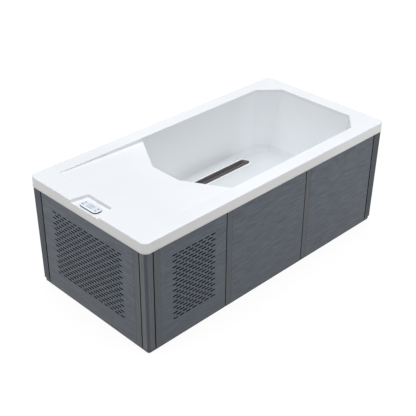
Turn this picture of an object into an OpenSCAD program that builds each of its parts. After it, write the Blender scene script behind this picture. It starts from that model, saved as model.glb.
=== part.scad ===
// Cold plunge tub with its own chiller: a one-piece moulded shell on a bolted
// frame, clad in vented skirt panels, with pump, filter and cooling unit in the
// bay under the deck. Millimetres, +Z up, +X towards the backrest end, origin
// on the floor under the middle of the rim.

/* [Overall] */
// Length over the rim
tub_l = 2000; // [1960:10:2080]
// Width over the rim
tub_w = 980; // [970:5:1020]
// Height from the floor to the top of the rim
tub_h = 720; // [712:2:740]

/* [Shell] */
// Wall of the moulded shell
shell_t = 8; // [7:0.5:9]
// Height of the rim's outer side
rim_side_h = 64; // [58:1:68]
// Corner radius of the rim, seen from above
rim_corner_r = 38; // [30:1:46]
// Radius along the rim's top outer edge
rim_edge_r = 9; // [5:0.5:10]
// How far the bead at the rim's foot stands proud of its side
rim_bead = 1.5; // [1:0.25:2.5]
// Height of that bead
rim_bead_h = 4; // [3:0.5:6]
// Overhang of the rim beyond the skirt
rim_overhang = 20; // [18:0.5:22]
// Width of the rim beside the basin and behind the backrest
rim_land = 94; // [92:1:100]
// Width of the rim at the console end
console_land = 140; // [134:1:150]
// Radius where the rim and the deck turn down
lip_r = 6; // [4:0.5:7]

/* [Basin] */
// From the console end of the rim to the basin's straight end
bay_l = 588; // [586:2:620]
// Depth from the rim to the basin floor
basin_depth = 448; // [430:2:456]
// Radius between the basin's walls and its floor
floor_fillet_r = 40; // [30:1:44]
// Draft of the long walls
side_draft = 1.5; // [1:0.1:2]
// Draft of the corner walls
corner_draft = 2.6; // [1.5:0.1:3.5]
// Draft of the wall below the deck
end_draft = 4; // [3:0.1:6]
// Recline of the backrest wall
back_lean = 8.7; // [6:0.1:11]
// Backrest corner cut, along the tub
back_cut_x = 130; // [110:1:150]
// Backrest corner cut, across the tub
back_cut_y = 116; // [100:1:130]
// Deck corner cut, along the tub
deck_cut_x = 174; // [160:1:190]
// Deck corner cut, across the tub
deck_cut_y = 288; // [270:1:300]
// Radius of the basin's upright corners
basin_corner_r = 12; // [8:1:20]

/* [Deck] */
// Step from the rim down to the deck at the console end
deck_dip = 8; // [7.5:0.25:10]
// Fall of the deck towards the basin, in degrees
deck_fall = 1.66; // [1.2:0.02:1.9]
// Radius of the deck's corners, seen from above
deck_corner_r = 14; // [8:1:20]

/* [Console] */
// Depth of the notch that holds the console
notch_depth = 16; // [13:0.5:18]
// Length of the notch at its inner side
notch_inner_l = 190; // [184:1:196]
// Length of the notch at the rim's outer side
notch_outer_l = 236; // [220:1:250]
// Reach of the notch in from the rim's outer side
notch_reach = 105; // [98:1:112]
// Offset of the notch and console from the middle of the end
console_y = -8; // [-20:1:20]
// Length of the console
console_l = 142; // [136:1:150]
// Width of the console
console_w = 58; // [54:1:60]
// Corner radius of the console
console_corner_r = 25; // [18:1:26]
// Height of the console's cap
console_h = 7; // [6:0.5:8]
// Thickness of the gasket under it
gasket_t = 3; // [2:0.5:4]
// From the rim's outer side to the middle of the console
console_inset = 46; // [44:1:50]
// Diameter of the buttons
button_d = 12; // [10:0.5:13]
// Travel of the buttons
button_travel = 0.8; // [0.5:0.1:1.2]
// Distance between the two buttons of a pair
button_pitch = 22; // [18:0.5:24]
// From the console's end to its buttons
button_inset = 19; // [17:0.5:22]
// Length of the display window
lens_l = 46; // [40:1:50]
// Width of the display window
lens_w = 32; // [28:1:34]

/* [Skirt] */
// Thickness of the skirt panels and posts
panel_t = 12; // [10:0.5:13]
// Width of the open joint between panels
groove_w = 6; // [5:0.5:8]
// Visible width of a corner post on each side
post_leg = 49; // [44:1:56]
// Outer radius of the corner posts
post_r = 15; // [13:0.5:22]
// Width of the smooth margin beside each joint
margin_w = 42; // [34:1:48]
// Step between that margin and the panel's face
margin_step = 0.8; // [0.5:0.1:1.5]
// From the console end of the skirt to the first joint
joint_a = 586; // [578:1:592]
// From the console end of the skirt to the second joint
joint_b = 1252; // [1230:1:1270]
// Open line between the panels and the rim's foot
reveal = 4; // [3:0.5:6]
// Thickness of the base tray
tray_t = 6; // [5:0.5:8]
// Inset of the base tray from the face of the skirt
tray_inset = 2; // [1:0.5:4]

/* [Vents] */
// Length of a vent slot
slot_l = 36; // [32:0.5:40]
// Height of a vent slot
slot_h = 9; // [7:0.25:10]
// Distance between slots in a row
slot_pitch = 47; // [45:0.25:48]
// Distance between rows
row_pitch = 18.8; // [17:0.1:19]
// From the panels' top edge to the top row
vent_drop = 102; // [92:1:112]
// Least height of the lowest row above the floor
vent_foot = 130; // [120:1:136]
// Least width of the plain board at each side of the slots
vent_margin = 80; // [70:1:86]

/* [Frame] */
// Width of the frame's square tube
rail_w = 30; // [28:1:30]
// Height of the base rails
base_rail_h = 30; // [26:1:34]
// Height of the top rails
top_rail_h = 60; // [54:1:64]
// Height of the battens under the rim
batten_h = 22; // [20:1:24]
// Height of the bearers under the basin
bearer_h = 36; // [30:1:40]
// Thickness of the board under the basin
board_t = 18; // [15:1:21]
// Thickness of the foam round the basin
foam_t = 20; // [16:1:21]
// From the frame's end to the upright behind the backrest
back_upright_inset = 248; // [230:2:270]
// Thickness of the bulkhead and of the battens at its foot
bulkhead_t = 12; // [10:1:14]
// From the basin's straight end to the bulkhead
bulkhead_gap = 58; // [56:1:60]
// Thickness of the equipment plate
plate_t = 4; // [3:0.5:6]

/* [Floor grille] */
// From the deck end's foot to the grille
grille_from_deck = 396; // [380:2:420]
// Width of the grille
grille_w = 67; // [60:1:70]
// Height of the grille's low edge
grille_low_h = 4; // [3.5:0.5:6]
// Height of the grille's high edge
grille_high_h = 16; // [12:0.5:20]
// Distance between ribs
rib_pitch = 16; // [14:0.5:20]
// Thickness of a rib
rib_t = 7; // [5:0.5:9]
// From the backrest's foot to the grille
grille_from_back = 202; // [190:2:230]
// Depth of the suction channel below the shell
channel_depth = 32; // [28:1:34]

/* [Water] */
// Outer diameter of the water pipes
pipe_d = 32; // [28:1:34]
// Wall of the water pipes
pipe_wall = 3; // [2:0.5:4]
// Bend radius of the water pipes
bend_r = 40; // [36:1:44]
// Height of the pump's axis over its plate
pump_axis_h = 110; // [104:1:114]
// Radius of the pump's volute
volute_r = 65; // [62:1:67]
// Diameter of the filter housing
filter_d = 150; // [140:1:152]
// Height of the filter housing
filter_h = 360; // [350:2:370]
// Diameter of the heat exchanger
exchanger_d = 160; // [150:1:164]
// Height of the heat exchanger
exchanger_h = 390; // [385:1:396]
// Height of the pipes between pump, filter and exchanger over the plate
link_h = 320; // [314:1:324]
// Height of the return nozzle over the floor
return_z = 480; // [476:1:490]
// Bore of the return nozzle
nozzle_bore = 20; // [16:1:24]
// Diameter of the threaded drain outlet
outlet_d = 26.4; // [24:0.1:28]

/* [Cooling] */
// Width of the condenser and its shroud
condenser_w = 500; // [470:5:510]
// From the condenser's top to the top rails
condenser_gap = 50; // [40:5:60]
// Thickness of the condenser
condenser_t = 40; // [36:1:42]
// Height of the condenser's foot over the plate
condenser_foot = 60; // [50:1:70]
// From the shroud's opening to the condenser's top and foot
shroud_margin = 50; // [45:1:55]
// Gap between the fan blades and the shroud
blade_gap = 8; // [6:0.5:12]
// Number of fan blades
blades = 5; // [4:1:7]
// Diameter of the fan's shaft
fan_shaft_d = 12; // [10:0.5:14]
// Diameter of the compressor
compressor_d = 150; // [140:1:154]
// Height of the compressor's can
compressor_h = 250; // [230:1:256]
// Diameter of the copper lines
copper_d = 12; // [9:0.5:14]

/* [Hidden] */
$fn = 48;

// Clearances shared by every fit
seat = 0.3;
running_fit = 0.05;
joint_overlap = 1;

// Colours
WHITE = [0.94, 0.95, 0.97];
SLATE = [0.38, 0.40, 0.43];
BLACK = [0.08, 0.08, 0.09];
STEEL = [0.62, 0.64, 0.66];
COPPER = [0.72, 0.45, 0.32];
FOAM = [0.86, 0.82, 0.66];

// Levels, from the floor up
base_rail_top = tray_t + base_rail_h;
plate_top = base_rail_top + plate_t;
basin_floor_z = tub_h - basin_depth;
floor_under_z = basin_floor_z - shell_t;
foam_under_z = floor_under_z - foam_t;
board_under_z = foam_under_z - board_t;
bearer_under_z = board_under_z - bearer_h;
rim_foot_z = tub_h - rim_side_h;
panel_top = rim_foot_z - reveal;
rim_under_z = tub_h - shell_t;
top_rail_z = rim_under_z - batten_h - top_rail_h;
batten_z = rim_under_z - batten_h;
notch_z = tub_h - notch_depth;

// Plan lines, from the outside in
half_l = tub_l / 2;
half_w = tub_w / 2;
skirt_x = half_l - rim_overhang;
skirt_y = half_w - rim_overhang;
frame_x = skirt_x - panel_t;
frame_y = skirt_y - panel_t;
inner_x = frame_x - rail_w;
inner_y = frame_y - rail_w;
open_y = half_w - rim_land;
open_x = half_l - rim_land;
deck_x = -half_l + console_land;
basin_x = -half_l + bay_l;
joint_ax = -skirt_x + joint_a;
joint_bx = -skirt_x + joint_b;
bulkhead_x = basin_x - bulkhead_gap;
plate_x1 = bulkhead_x - bulkhead_t;

// Rows of slots, and how many fit in the long rows of a panel
vent_top = panel_top - vent_drop;
vent_rows = 1 + floor((vent_top - vent_foot) / row_pitch);
function slots_in(length) = 1 + floor((length - margin_w - 2 * vent_margin - slot_l) / slot_pitch);

// The basin floor's flat part and what stands on it
floor_flat_y = open_y - basin_depth * tan(side_draft) - floor_fillet_r;
floor_flat_x = open_x - basin_depth * tan(back_lean) - floor_fillet_r;
floor_flat_x0 = basin_x + basin_depth * tan(end_draft) + floor_fillet_r;
grille_y1 = floor_flat_y - 3;
grille_y0 = grille_y1 - grille_w;
grille_x1 = floor_flat_x - grille_from_back;
grille_x0 = floor_flat_x0 + grille_from_deck;
grille_l = grille_x1 - grille_x0;
grille_edge = 8;
slot_x0 = grille_x0 + 2 * grille_edge;
slot_x1 = grille_x1 - 2 * grille_edge;
slot_y0 = grille_y0 + grille_edge;
slot_y1 = grille_y1 - grille_edge;
channel_z = floor_under_z - channel_depth;
channel_wall = 4;
suction_y = (slot_y0 + slot_y1) / 2;
suction_x = slot_x0 + 50;

// Equipment places in the bay
suction_z = plate_top + pump_axis_h;
link_z = plate_top + link_h;
volute_l = 70;
volute_x = plate_x1 - 60 - volute_l / 2;
motor_l = 158;
port_r = 22;
tee_x = joint_ax - 46;
filter_x = volute_x;
filter_y = -260;
filter_top = plate_top + filter_h;
exchanger_x = filter_x - pipe_d / 2 - 7 - exchanger_d / 2;
exchanger_top = plate_top + exchanger_h;
condenser_x = -frame_x + 13;
shroud_x = condenser_x + condenser_t;
shroud_t = 4;
shroud_l = 50;
bracket_x = shroud_x + shroud_t + shroud_l;
motor_x = bracket_x + shroud_t;
condenser_h = top_rail_z - condenser_gap - plate_top - condenser_foot;
shroud_bore = condenser_h - 2 * shroud_margin;
fan_z = plate_top + condenser_foot + condenser_h / 2;
fan_motor_l = 70;
fan_hub_l = 40;
fan_hub_x = bracket_x - 4 - fan_hub_l;
compressor_x = filter_x - filter_d / 2 - 13 - compressor_d / 2;
compressor_y = -condenser_w / 2 - 50;
compressor_z = plate_top + 16;
bend_pitch = 40;
exchanger_line_z = plate_top + condenser_foot + 2 * bend_pitch;
exchanger_port_y = -exchanger_d / 2 - 12;

// A box between two corners
module span(a, b) {
    translate(a)
        cube(b - a);
}

// A round bar along an axis, from a point
module bar(p, axis, l, r) {
    translate(p)
        rotate(axis == "x" ? [0, 90, 0] : axis == "y" ? [-90, 0, 0] : [0, 0, 0])
            cylinder(h = l, r = r);
}

// Half a circle's chord, at a distance from its middle
function chord(r, distance) = sqrt(r * r - distance * distance);

// A rectangle with round corners, centred
module round_rect(x, y, r) {
    square([x - 2 * r, y], center = true);
    square([x, y - 2 * r], center = true);
    for (i = [-1, 1], j = [-1, 1])
        translate([i * (x / 2 - r), j * (y / 2 - r)])
            circle(r = r);
}

// Where two lines meet, each given as [direction of its normal, distance]
function meet(a, b) =
    let (d = sin(b[0] - a[0]))
    [(a[1] * sin(b[0]) - b[1] * sin(a[0])) / d, (b[1] * cos(a[0]) - a[1] * cos(b[0])) / d];

// A closed outline inside a list of walls, [normal, distance, radius of the next corner]
function outline(walls, steps = 4) = [
    for (i = [0 : len(walls) - 1])
        let (
            a = walls[i],
            b = walls[(i + 1) % len(walls)],
            turn = (b[0] - a[0] + 360) % 360,
            c = meet([a[0], a[1] - a[2]], [b[0], b[1] - a[2]])
        )
        for (t = [0 : steps])
            let (angle = a[0] + turn * t / steps)
            c + a[2] * [cos(angle), sin(angle)]
];

// An outline lifted to a height that may fall along X
function lift(points, z, fall = 0) = [for (p = points) [p[0], p[1], z - fall * p[0]]];

// A solid through a stack of outlines, from the lowest up
module loft(rings) {
    n = len(rings[0]);
    for (i = [0 : len(rings) - 2])
        hull()
            polyhedron(
                points = concat(rings[i], rings[i + 1]),
                faces = [
                    [for (j = [0 : n - 1]) j],
                    [for (j = [2 * n - 1 : -1 : n]) j],
                    for (j = [0 : n - 1])
                        [j, n + j, n + (j + 1) % n, (j + 1) % n]
                ]
            );
}

// Basin walls at a depth below the rim, moved outwards by a distance
back_cut_a = atan2(back_cut_x, back_cut_y);
deck_cut_a = 180 - atan2(deck_cut_x, deck_cut_y);
back_cut_c = (open_x - back_cut_x) * cos(back_cut_a) + open_y * sin(back_cut_a);
deck_cut_c = (basin_x + deck_cut_x) * cos(deck_cut_a) + open_y * sin(deck_cut_a);
function basin_walls(depth, out, r = basin_corner_r) = let (
    back = back_cut_c - depth * tan(corner_draft) + out,
    deck = deck_cut_c - depth * tan(corner_draft) + out,
    side = open_y - depth * tan(side_draft) + out
) [
    [0, open_x - depth * tan(back_lean) + out, r],
    [back_cut_a, back, r],
    [90, side, r],
    [deck_cut_a, deck, r],
    [180, -basin_x - depth * tan(end_draft) + out, r],
    [360 - deck_cut_a, deck, r],
    [270, side, r],
    [360 - back_cut_a, back, r]
];

// The whole opening at rim level: basin and deck together
function opening_walls(depth, out) = let (
    back = back_cut_c - depth * tan(corner_draft) + out,
    side = open_y - depth * tan(side_draft) + out
) [
    [0, open_x - depth * tan(back_lean) + out, basin_corner_r],
    [back_cut_a, back, basin_corner_r],
    [90, side, deck_corner_r],
    [180, -deck_x + out, deck_corner_r],
    [270, side, basin_corner_r],
    [360 - back_cut_a, back, basin_corner_r]
];

// The deck's sunken field, and the lip where it ends at the basin
deck_x1 = basin_x + deck_cut_x + 8;
function deck_walls(out) = [
    [0, deck_x1 + out, 2],
    [90, open_y - deck_dip * tan(side_draft) + out, deck_corner_r],
    [180, -deck_x + out, deck_corner_r],
    [270, open_y - deck_dip * tan(side_draft) + out, 2]
];
lip_depth = deck_dip + (basin_x + deck_cut_x - deck_x) * tan(deck_fall) + lip_r;
function lip_walls(out) = let (
    cut = deck_cut_c - lip_depth * tan(corner_draft) - 0.3 + out,
    end = -basin_x - lip_depth * tan(end_draft) - 0.3 + out,
    side = open_y - 1.5
) [
    [0, basin_x + deck_cut_x, 2],
    [90, side, 2],
    [deck_cut_a, cut, basin_corner_r],
    [180, end, basin_corner_r],
    [360 - deck_cut_a, cut, 2],
    [270, side, 2]
];
deck_grade = tan(deck_fall);
deck_z0 = tub_h - deck_dip + deck_grade * deck_x;
function deck_z(x) = deck_z0 - deck_grade * x;

// The basin's space, or its outside when moved outwards by the wall
module basin_form(out, top) {
    r = floor_fillet_r + out;
    bottom = basin_floor_z - out;
    loft([
        for (a = [0 : 15 : 90])
            let (z = bottom + r * (1 - cos(a)))
            lift(outline(basin_walls(tub_h - z, out - r * (1 - sin(a)))), z),
        lift(outline(basin_walls(tub_h - top, out)), top)
    ]);
}

// The rim's outside, with its rounded top edge and the bead at its foot
module rim_block() {
    side_r = rim_corner_r - rim_bead;
    hull()
        for (i = [-1, 1], j = [-1, 1])
            translate([i * (half_l - rim_corner_r), j * (half_w - rim_corner_r), 0])
                rotate_extrude($fn = 48)
                    polygon([
                        [0, rim_foot_z],
                        [side_r, rim_foot_z],
                        for (a = [0 : 15 : 90])
                            [side_r - rim_edge_r * (1 - cos(a)), tub_h - rim_edge_r * (1 - sin(a))],
                        [0, tub_h]
                    ]);
    translate([0, 0, rim_foot_z])
        linear_extrude(rim_bead_h)
            round_rect(tub_l, tub_w, rim_corner_r);
}

// The notch's plan, grown by a distance
module notch_plan(grow) {
    inner = notch_inner_l / 2 + grow;
    outer = notch_outer_l / 2 + grow;
    translate([-half_l, console_y])
        polygon([[-grow, -outer], [notch_reach + grow, -inner], [notch_reach + grow, inner], [-grow, outer]]);
}

module tub_shell() {
    color(WHITE)
    difference() {
        union() {
            difference() {
                rim_block();
                translate([0, 0, rim_foot_z - joint_overlap])
                    linear_extrude(rim_side_h - shell_t + joint_overlap)
                        round_rect(tub_l - 2 * (shell_t + rim_bead), tub_w - 2 * (shell_t + rim_bead),
                                   rim_corner_r - shell_t - rim_bead);
            }
            basin_form(shell_t, rim_under_z + joint_overlap);
            loft([
                lift(outline(deck_walls(shell_t)), deck_z0 - shell_t, deck_grade),
                lift(outline(deck_walls(shell_t)), rim_under_z + joint_overlap)
            ]);
            translate([0, 0, notch_z - shell_t])
                linear_extrude(notch_depth + joint_overlap)
                    intersection() {
                        notch_plan(shell_t);
                        square([tub_l - 2 * rim_bead - 2, tub_w], center = true);
                    }
        }
        basin_form(0, tub_h + joint_overlap);
        loft([
            lift(outline(deck_walls(0)), deck_z0, deck_grade),
            lift(outline(deck_walls(0)), tub_h + joint_overlap)
        ]);
        loft([
            for (a = [0 : 30 : 90])
                lift(outline(opening_walls(lip_r, lip_r * (1 - cos(a)))), tub_h - lip_r * (1 - sin(a))),
            lift(outline(opening_walls(lip_r, lip_r)), tub_h + joint_overlap)
        ]);
        loft([
            for (a = [0 : 30 : 60])
                lift(outline(lip_walls(lip_r * (1 - cos(a)))), deck_z0 - lip_r * (1 - sin(a)), deck_grade),
            lift(outline(lip_walls(lip_r * 1.5)), deck_z0 + lip_r * 0.134, deck_grade)
        ]);
        hull() {
            translate([0, 0, notch_z])
                linear_extrude(0.1)
                    notch_plan(0);
            translate([0, 0, tub_h])
                linear_extrude(joint_overlap)
                    notch_plan(5);
        }
        console_cup(seat, shell_t + joint_overlap);
        span([slot_x0, slot_y0, floor_under_z - joint_overlap],
             [slot_x1, slot_y1, basin_floor_z + joint_overlap]);
        bar([basin_x - foam_t, 0, return_z], "x", foam_t + 60, nozzle_r + seat);
    }
}

// Foam jacket round the basin, open at the suction channel and the nozzle
module basin_foam() {
    color(FOAM)
    difference() {
        basin_form(shell_t + foam_t, top_rail_z - 4);
        basin_form(shell_t + running_fit, tub_h);
        channel_block(seat, joint_overlap);
        bar([basin_x - foam_t - 40, 0, return_z], "x", foam_t + 120, nozzle_r + seat);
    }
}

// Plywood board that carries the basin floor
module basin_board() {
    color([0.70, 0.56, 0.38])
    difference() {
        span([basin_x + 12, -floor_flat_y, board_under_z], [floor_flat_x, floor_flat_y, foam_under_z]);
        channel_block(seat, foam_t + joint_overlap);
    }
}

// Suction channel under the floor grille: a trough with a spigot at its low end
module channel_block(gap, extra) {
    w = channel_wall + gap;
    span([slot_x0 - w, slot_y0 - w, channel_z - gap], [slot_x1 + w, slot_y1 + w, floor_under_z + extra]);
    bar([suction_x, suction_y, board_under_z - joint_overlap], "z",
        channel_z - board_under_z + joint_overlap + 1,
        pipe_d / 2 + 6 + gap);
}

module suction_channel() {
    color(WHITE)
    difference() {
        union() {
            span([slot_x0 - channel_wall, slot_y0 - channel_wall, channel_z],
                 [slot_x1 + channel_wall, slot_y1 + channel_wall, floor_under_z]);
            bar([suction_x, suction_y, channel_z - 20], "z", 20, pipe_d / 2 + 5);
        }
        span([slot_x0, slot_y0, channel_z + channel_wall], [slot_x1, slot_y1, floor_under_z + 1]);
        bar([suction_x, suction_y, channel_z - 21], "z", 17, pipe_d / 2 + running_fit);
        bar([suction_x, suction_y, channel_z - 5], "z", 10, pipe_d / 2 - pipe_wall);
    }
}

// Wedge-shaped cover over the suction slot: ribs across, a tongue into the slot
module floor_grille() {
    z = basin_floor_z + seat;
    color(BLACK)
    difference() {
        union() {
            translate([grille_x0, 0, 0])
                rotate([90, 0, 90])
                    linear_extrude(grille_l)
                        polygon([
                            [grille_y0, z],
                            [grille_y1, z],
                            [grille_y1, z + grille_low_h],
                            [grille_y0 + 2, z + grille_high_h],
                            [grille_y0, z + grille_high_h - 2]
                        ]);
            span([slot_x0 + 0.5, slot_y0 + 0.5, z - 5], [slot_x1 - 0.5, slot_y1 - 0.5, z + 1]);
        }
        for (x = [slot_x0 + rib_t : rib_pitch : slot_x1 - rib_pitch])
            span([x, slot_y0 + 4, z - 6], [x + rib_pitch - rib_t, slot_y1 - 4, z + grille_high_h + 1]);
    }
}

// Water return through the wall below the deck
nozzle_r = 24;
nozzle_face_x = basin_x + (tub_h - return_z) * tan(end_draft);
module return_nozzle() {
    color(WHITE)
    difference() {
        union() {
            translate([nozzle_face_x + seat, 0, return_z])
                rotate([0, 90 - end_draft, 0])
                    rotate_extrude()
                        polygon([[0, 0], [38, 0], [38, 2], [34, 5], [18, 8], [0, 8]]);
            bar([basin_x - shell_t - foam_t - 6, 0, return_z], "x",
                shell_t + foam_t + 9 + nozzle_face_x - basin_x, nozzle_r);
        }
        bar([basin_x - shell_t - foam_t - 40, 0, return_z], "x", 120, nozzle_bore / 2);
    }
}

// Base tray that the tub stands on
module base_tray() {
    color([0.2, 0.17, 0.17])
        linear_extrude(tray_t)
            round_rect(2 * (skirt_x - tray_inset), 2 * (skirt_y - tray_inset), post_r - tray_inset);
}

// Base rails: two long ones, both ends and the cross rails between them
plate_rail_inset = 38;
plate_rail_pitch = 200;
plate_rail_x = plate_rail_inset - inner_x;
back_upright_x = frame_x - back_upright_inset;
basin_rail_x = basin_x + 412;
back_rail_x = back_upright_x - 320;
bulkhead_rail_x = plate_x1 + bulkhead_t / 2;
cross_rails = [plate_rail_x, plate_rail_x + plate_rail_pitch, bulkhead_rail_x, basin_rail_x, back_rail_x];
module base_rails() {
    color(STEEL)
    difference() {
        union() {
            for (j = [-1, 1])
                span([-frame_x, j > 0 ? inner_y : -frame_y, tray_t],
                     [frame_x, j > 0 ? frame_y : -inner_y, base_rail_top]);
            for (x = [-frame_x, for (c = cross_rails) c - rail_w / 2, inner_x])
                span([x, -inner_y, tray_t], [x + rail_w, inner_y, base_rail_top]);
        }
        bolt_shanks(running_fit);
        catch_studs([tray_t + base_rail_h / 2], running_fit);
    }
}

// Uprights at the corners, the panel joints and behind the backrest
upright_x = [-frame_x + rail_w / 2, joint_ax, joint_bx, back_upright_x, frame_x - rail_w / 2];
module frame_uprights() {
    color(STEEL)
    for (x = upright_x, j = [-1, 1])
        span([x - rail_w / 2, j > 0 ? inner_y : -frame_y, base_rail_top],
             [x + rail_w / 2, j > 0 ? frame_y : -inner_y, top_rail_z]);
}

// Top rails on the uprights
catch_top_z = top_rail_z + 11;
module top_rails() {
    color(STEEL)
    difference() {
        union() {
            for (j = [-1, 1])
                span([-frame_x, j > 0 ? inner_y : -frame_y, top_rail_z],
                     [frame_x, j > 0 ? frame_y : -inner_y, batten_z]);
            for (x = [-frame_x, inner_x])
                span([x, -inner_y, top_rail_z], [x + rail_w, inner_y, batten_z]);
        }
        catch_studs([catch_top_z], running_fit);
    }
}

// Push-in studs that hold the skirt panels to the base and top rails
stud_r = 4;
stud_l = 10;
function ends(x0, l) = [x0 + 60, x0 + l - 60];
module catch_studs(levels, gap) {
    side_x = concat(ends(panel_x0, side_a), ends(joint_ax, joint_bx - joint_ax), ends(joint_bx, side_c));
    for (z = levels) {
        for (x = side_x, j = [-1, 1])
            bar([x, j > 0 ? frame_y - stud_l - gap : -frame_y, z], "y", stud_l + gap, stud_r + gap);
        for (y = ends(-end_w / 2, end_w), i = [-1, 1])
            bar([i > 0 ? frame_x - stud_l - gap : -frame_x, y, z], "x", stud_l + gap, stud_r + gap);
    }
}

module panel_catches() {
    color(STEEL)
        catch_studs([tray_t + base_rail_h / 2, catch_top_z], 0);
}

// Timber battens bonded under the rim, left out where the notch hangs down
module rim_battens() {
    notch_half = notch_outer_l / 2 + shell_t + 6;
    color([0.78, 0.66, 0.47]) {
        for (j = [-1, 1])
            span([-frame_x, j > 0 ? inner_y : -frame_y, batten_z],
                 [frame_x, j > 0 ? frame_y : -inner_y, rim_under_z]);
        span([inner_x, -inner_y, batten_z], [frame_x, inner_y, rim_under_z]);
        span([-frame_x, -inner_y, batten_z], [-inner_x, console_y - notch_half, rim_under_z]);
        span([-frame_x, console_y + notch_half, batten_z], [-inner_x, inner_y, rim_under_z]);
    }
}

// Bearers under the basin board, between the uprights
module basin_bearers() {
    color(STEEL)
    for (x = [joint_ax, joint_bx, back_upright_x])
        span([x - rail_w / 2, -inner_y, bearer_under_z], [x + rail_w / 2, inner_y, board_under_z]);
}

// Bulkhead between the equipment bay and the basin
module bulkhead() {
    color([0.85, 0.85, 0.84])
    difference() {
        span([plate_x1, -inner_y, base_rail_top], [bulkhead_x, inner_y, beam_z]);
        bar([plate_x1 - 1, suction_y, suction_z], "x", bulkhead_t + 2, pipe_d / 2 + seat);
        bar([plate_x1 - 1, 0, return_z], "x", bulkhead_t + 2, pipe_d / 2 + seat);
    }
}

// Beam on the bulkhead that carries the deck
beam_w = 30;
beam_x = plate_x1 + bulkhead_t / 2;
beam_top = deck_z(beam_x + beam_w / 2) - shell_t - seat;
beam_z = beam_top - beam_w;
module deck_beam() {
    color(STEEL)
        span([beam_x - beam_w / 2, -inner_y, beam_z], [beam_x + beam_w / 2, inner_y, beam_top]);
}

// Steel plate that the equipment stands on
module equipment_plate() {
    color(STEEL)
    difference() {
        span([-inner_x, -inner_y, base_rail_top], [plate_x1, inner_y, plate_top]);
        bolt_shanks(running_fit);
    }
}

// Hexagon bolts that hold the plate down on its cross rails
bolt_r = 4;
bolt_inset = 28;
bolt_mid_y = 150;
bolt_rows = [bolt_inset - inner_y, -bolt_mid_y, bolt_mid_y, inner_y - bolt_inset];
bolt_places = [for (x = [cross_rails[0], cross_rails[1]], y = bolt_rows) [x, y]];
module bolt_shanks(gap) {
    for (p = bolt_places)
        bar([p[0], p[1], plate_top - 22 - gap], "z", 22 + 2 * gap, bolt_r + gap);
}

module plate_bolts() {
    color(STEEL) {
        bolt_shanks(0);
        for (p = bolt_places)
            translate([p[0], p[1], plate_top])
                cylinder(h = 6, r = 7.5, $fn = 6);
    }
}

// Corner post: a rounded angle, drawn for the front left corner
module post() {
    translate([-skirt_x, -skirt_y, tray_t])
        linear_extrude(panel_top - tray_t) {
            translate([post_r, 0])
                square([post_leg - post_r, panel_t]);
            translate([0, post_r])
                square([panel_t, post_leg - post_r]);
            intersection() {
                translate([post_r, post_r])
                    circle(r = post_r);
                difference() {
                    square(post_r);
                    translate([panel_t, panel_t])
                        square(post_r);
                }
            }
        }
}

// All four corner posts, cut from one extrusion
module corner_posts() {
    color(SLATE) {
        post();
        mirror([1, 0, 0])
            post();
        mirror([0, 1, 0])
            post();
        rotate([0, 0, 180])
            post();
    }
}

// One vent slot: a bar with eight-sided ends
module slot_shape() {
    r = slot_h / 2;
    x = slot_l / 2 - r;
    polygon([for (a = [-67.5 : 45 : 67.5]) [x + r * cos(a), r * sin(a)],
             for (a = [112.5 : 45 : 247.5]) [-x + r * cos(a), r * sin(a)]]);
}

// Staggered rows of slots, centred across, hanging down from the top row
module slot_field(count) {
    for (row = [0 : vent_rows - 1])
        let (n = count - row % 2)
        for (i = [0 : n - 1])
            translate([(i - (n - 1) / 2) * slot_pitch, -row * row_pitch])
                slot_shape();
}

// A skirt panel standing on the tray: length along X, its face towards -Y,
// a smooth margin at its left and, where slots are asked for, a vented field
module panel(length, slots = 0) {
    h = panel_top - tray_t;
    color(SLATE)
    translate([0, panel_t, tray_t])
        rotate([90, 0, 0]) {
            linear_extrude(panel_t - margin_step)
                square([margin_w, h]);
            translate([margin_w, 0, 0])
                linear_extrude(panel_t)
                    difference() {
                        square([length - margin_w, h]);
                        if (slots > 0)
                            translate([(length - margin_w) / 2, vent_top - tray_t])
                                slot_field(slots);
                    }
        }
}

// The lengths of the three panels of a long side
panel_x0 = -skirt_x + post_leg + groove_w;
side_a = joint_ax - groove_w / 2 - panel_x0;
side_b = joint_bx - joint_ax - groove_w;
side_c = -panel_x0 - joint_bx - groove_w / 2;
end_w = 2 * (skirt_y - post_leg - groove_w);

module front_panel_vented() { translate([panel_x0, -skirt_y, 0]) panel(side_a, slots_in(side_a)); }
module front_panel_middle() { translate([joint_ax + groove_w / 2, -skirt_y, 0]) panel(side_b); }
module front_panel_right() { translate([joint_bx + groove_w / 2, -skirt_y, 0]) panel(side_c); }
module back_panel_vented() {
    difference() {
        mirror([0, 1, 0]) front_panel_vented();
        bar([tee_x, frame_y - 1, suction_z], "y", panel_t + 2, outlet_d / 2 + seat);
        bar([gland_x, frame_y - 1, gland_z], "y", panel_t + 2, gland_thread_r + running_fit);
    }
}
module back_panel_middle() { mirror([0, 1, 0]) front_panel_middle(); }
module back_panel_right() { mirror([0, 1, 0]) front_panel_right(); }
module end_panel_vented() {
    mirror([0, 1, 0])
        translate([-skirt_x, 0, 0])
            rotate([0, 0, -90])
                translate([-end_w / 2, 0, 0])
                    panel(end_w, slots_in(end_w));
}
module end_panel_plain() {
    translate([skirt_x, 0, 0])
        rotate([0, 0, 90])
            translate([-end_w / 2, 0, 0])
                panel(end_w);
}

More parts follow.
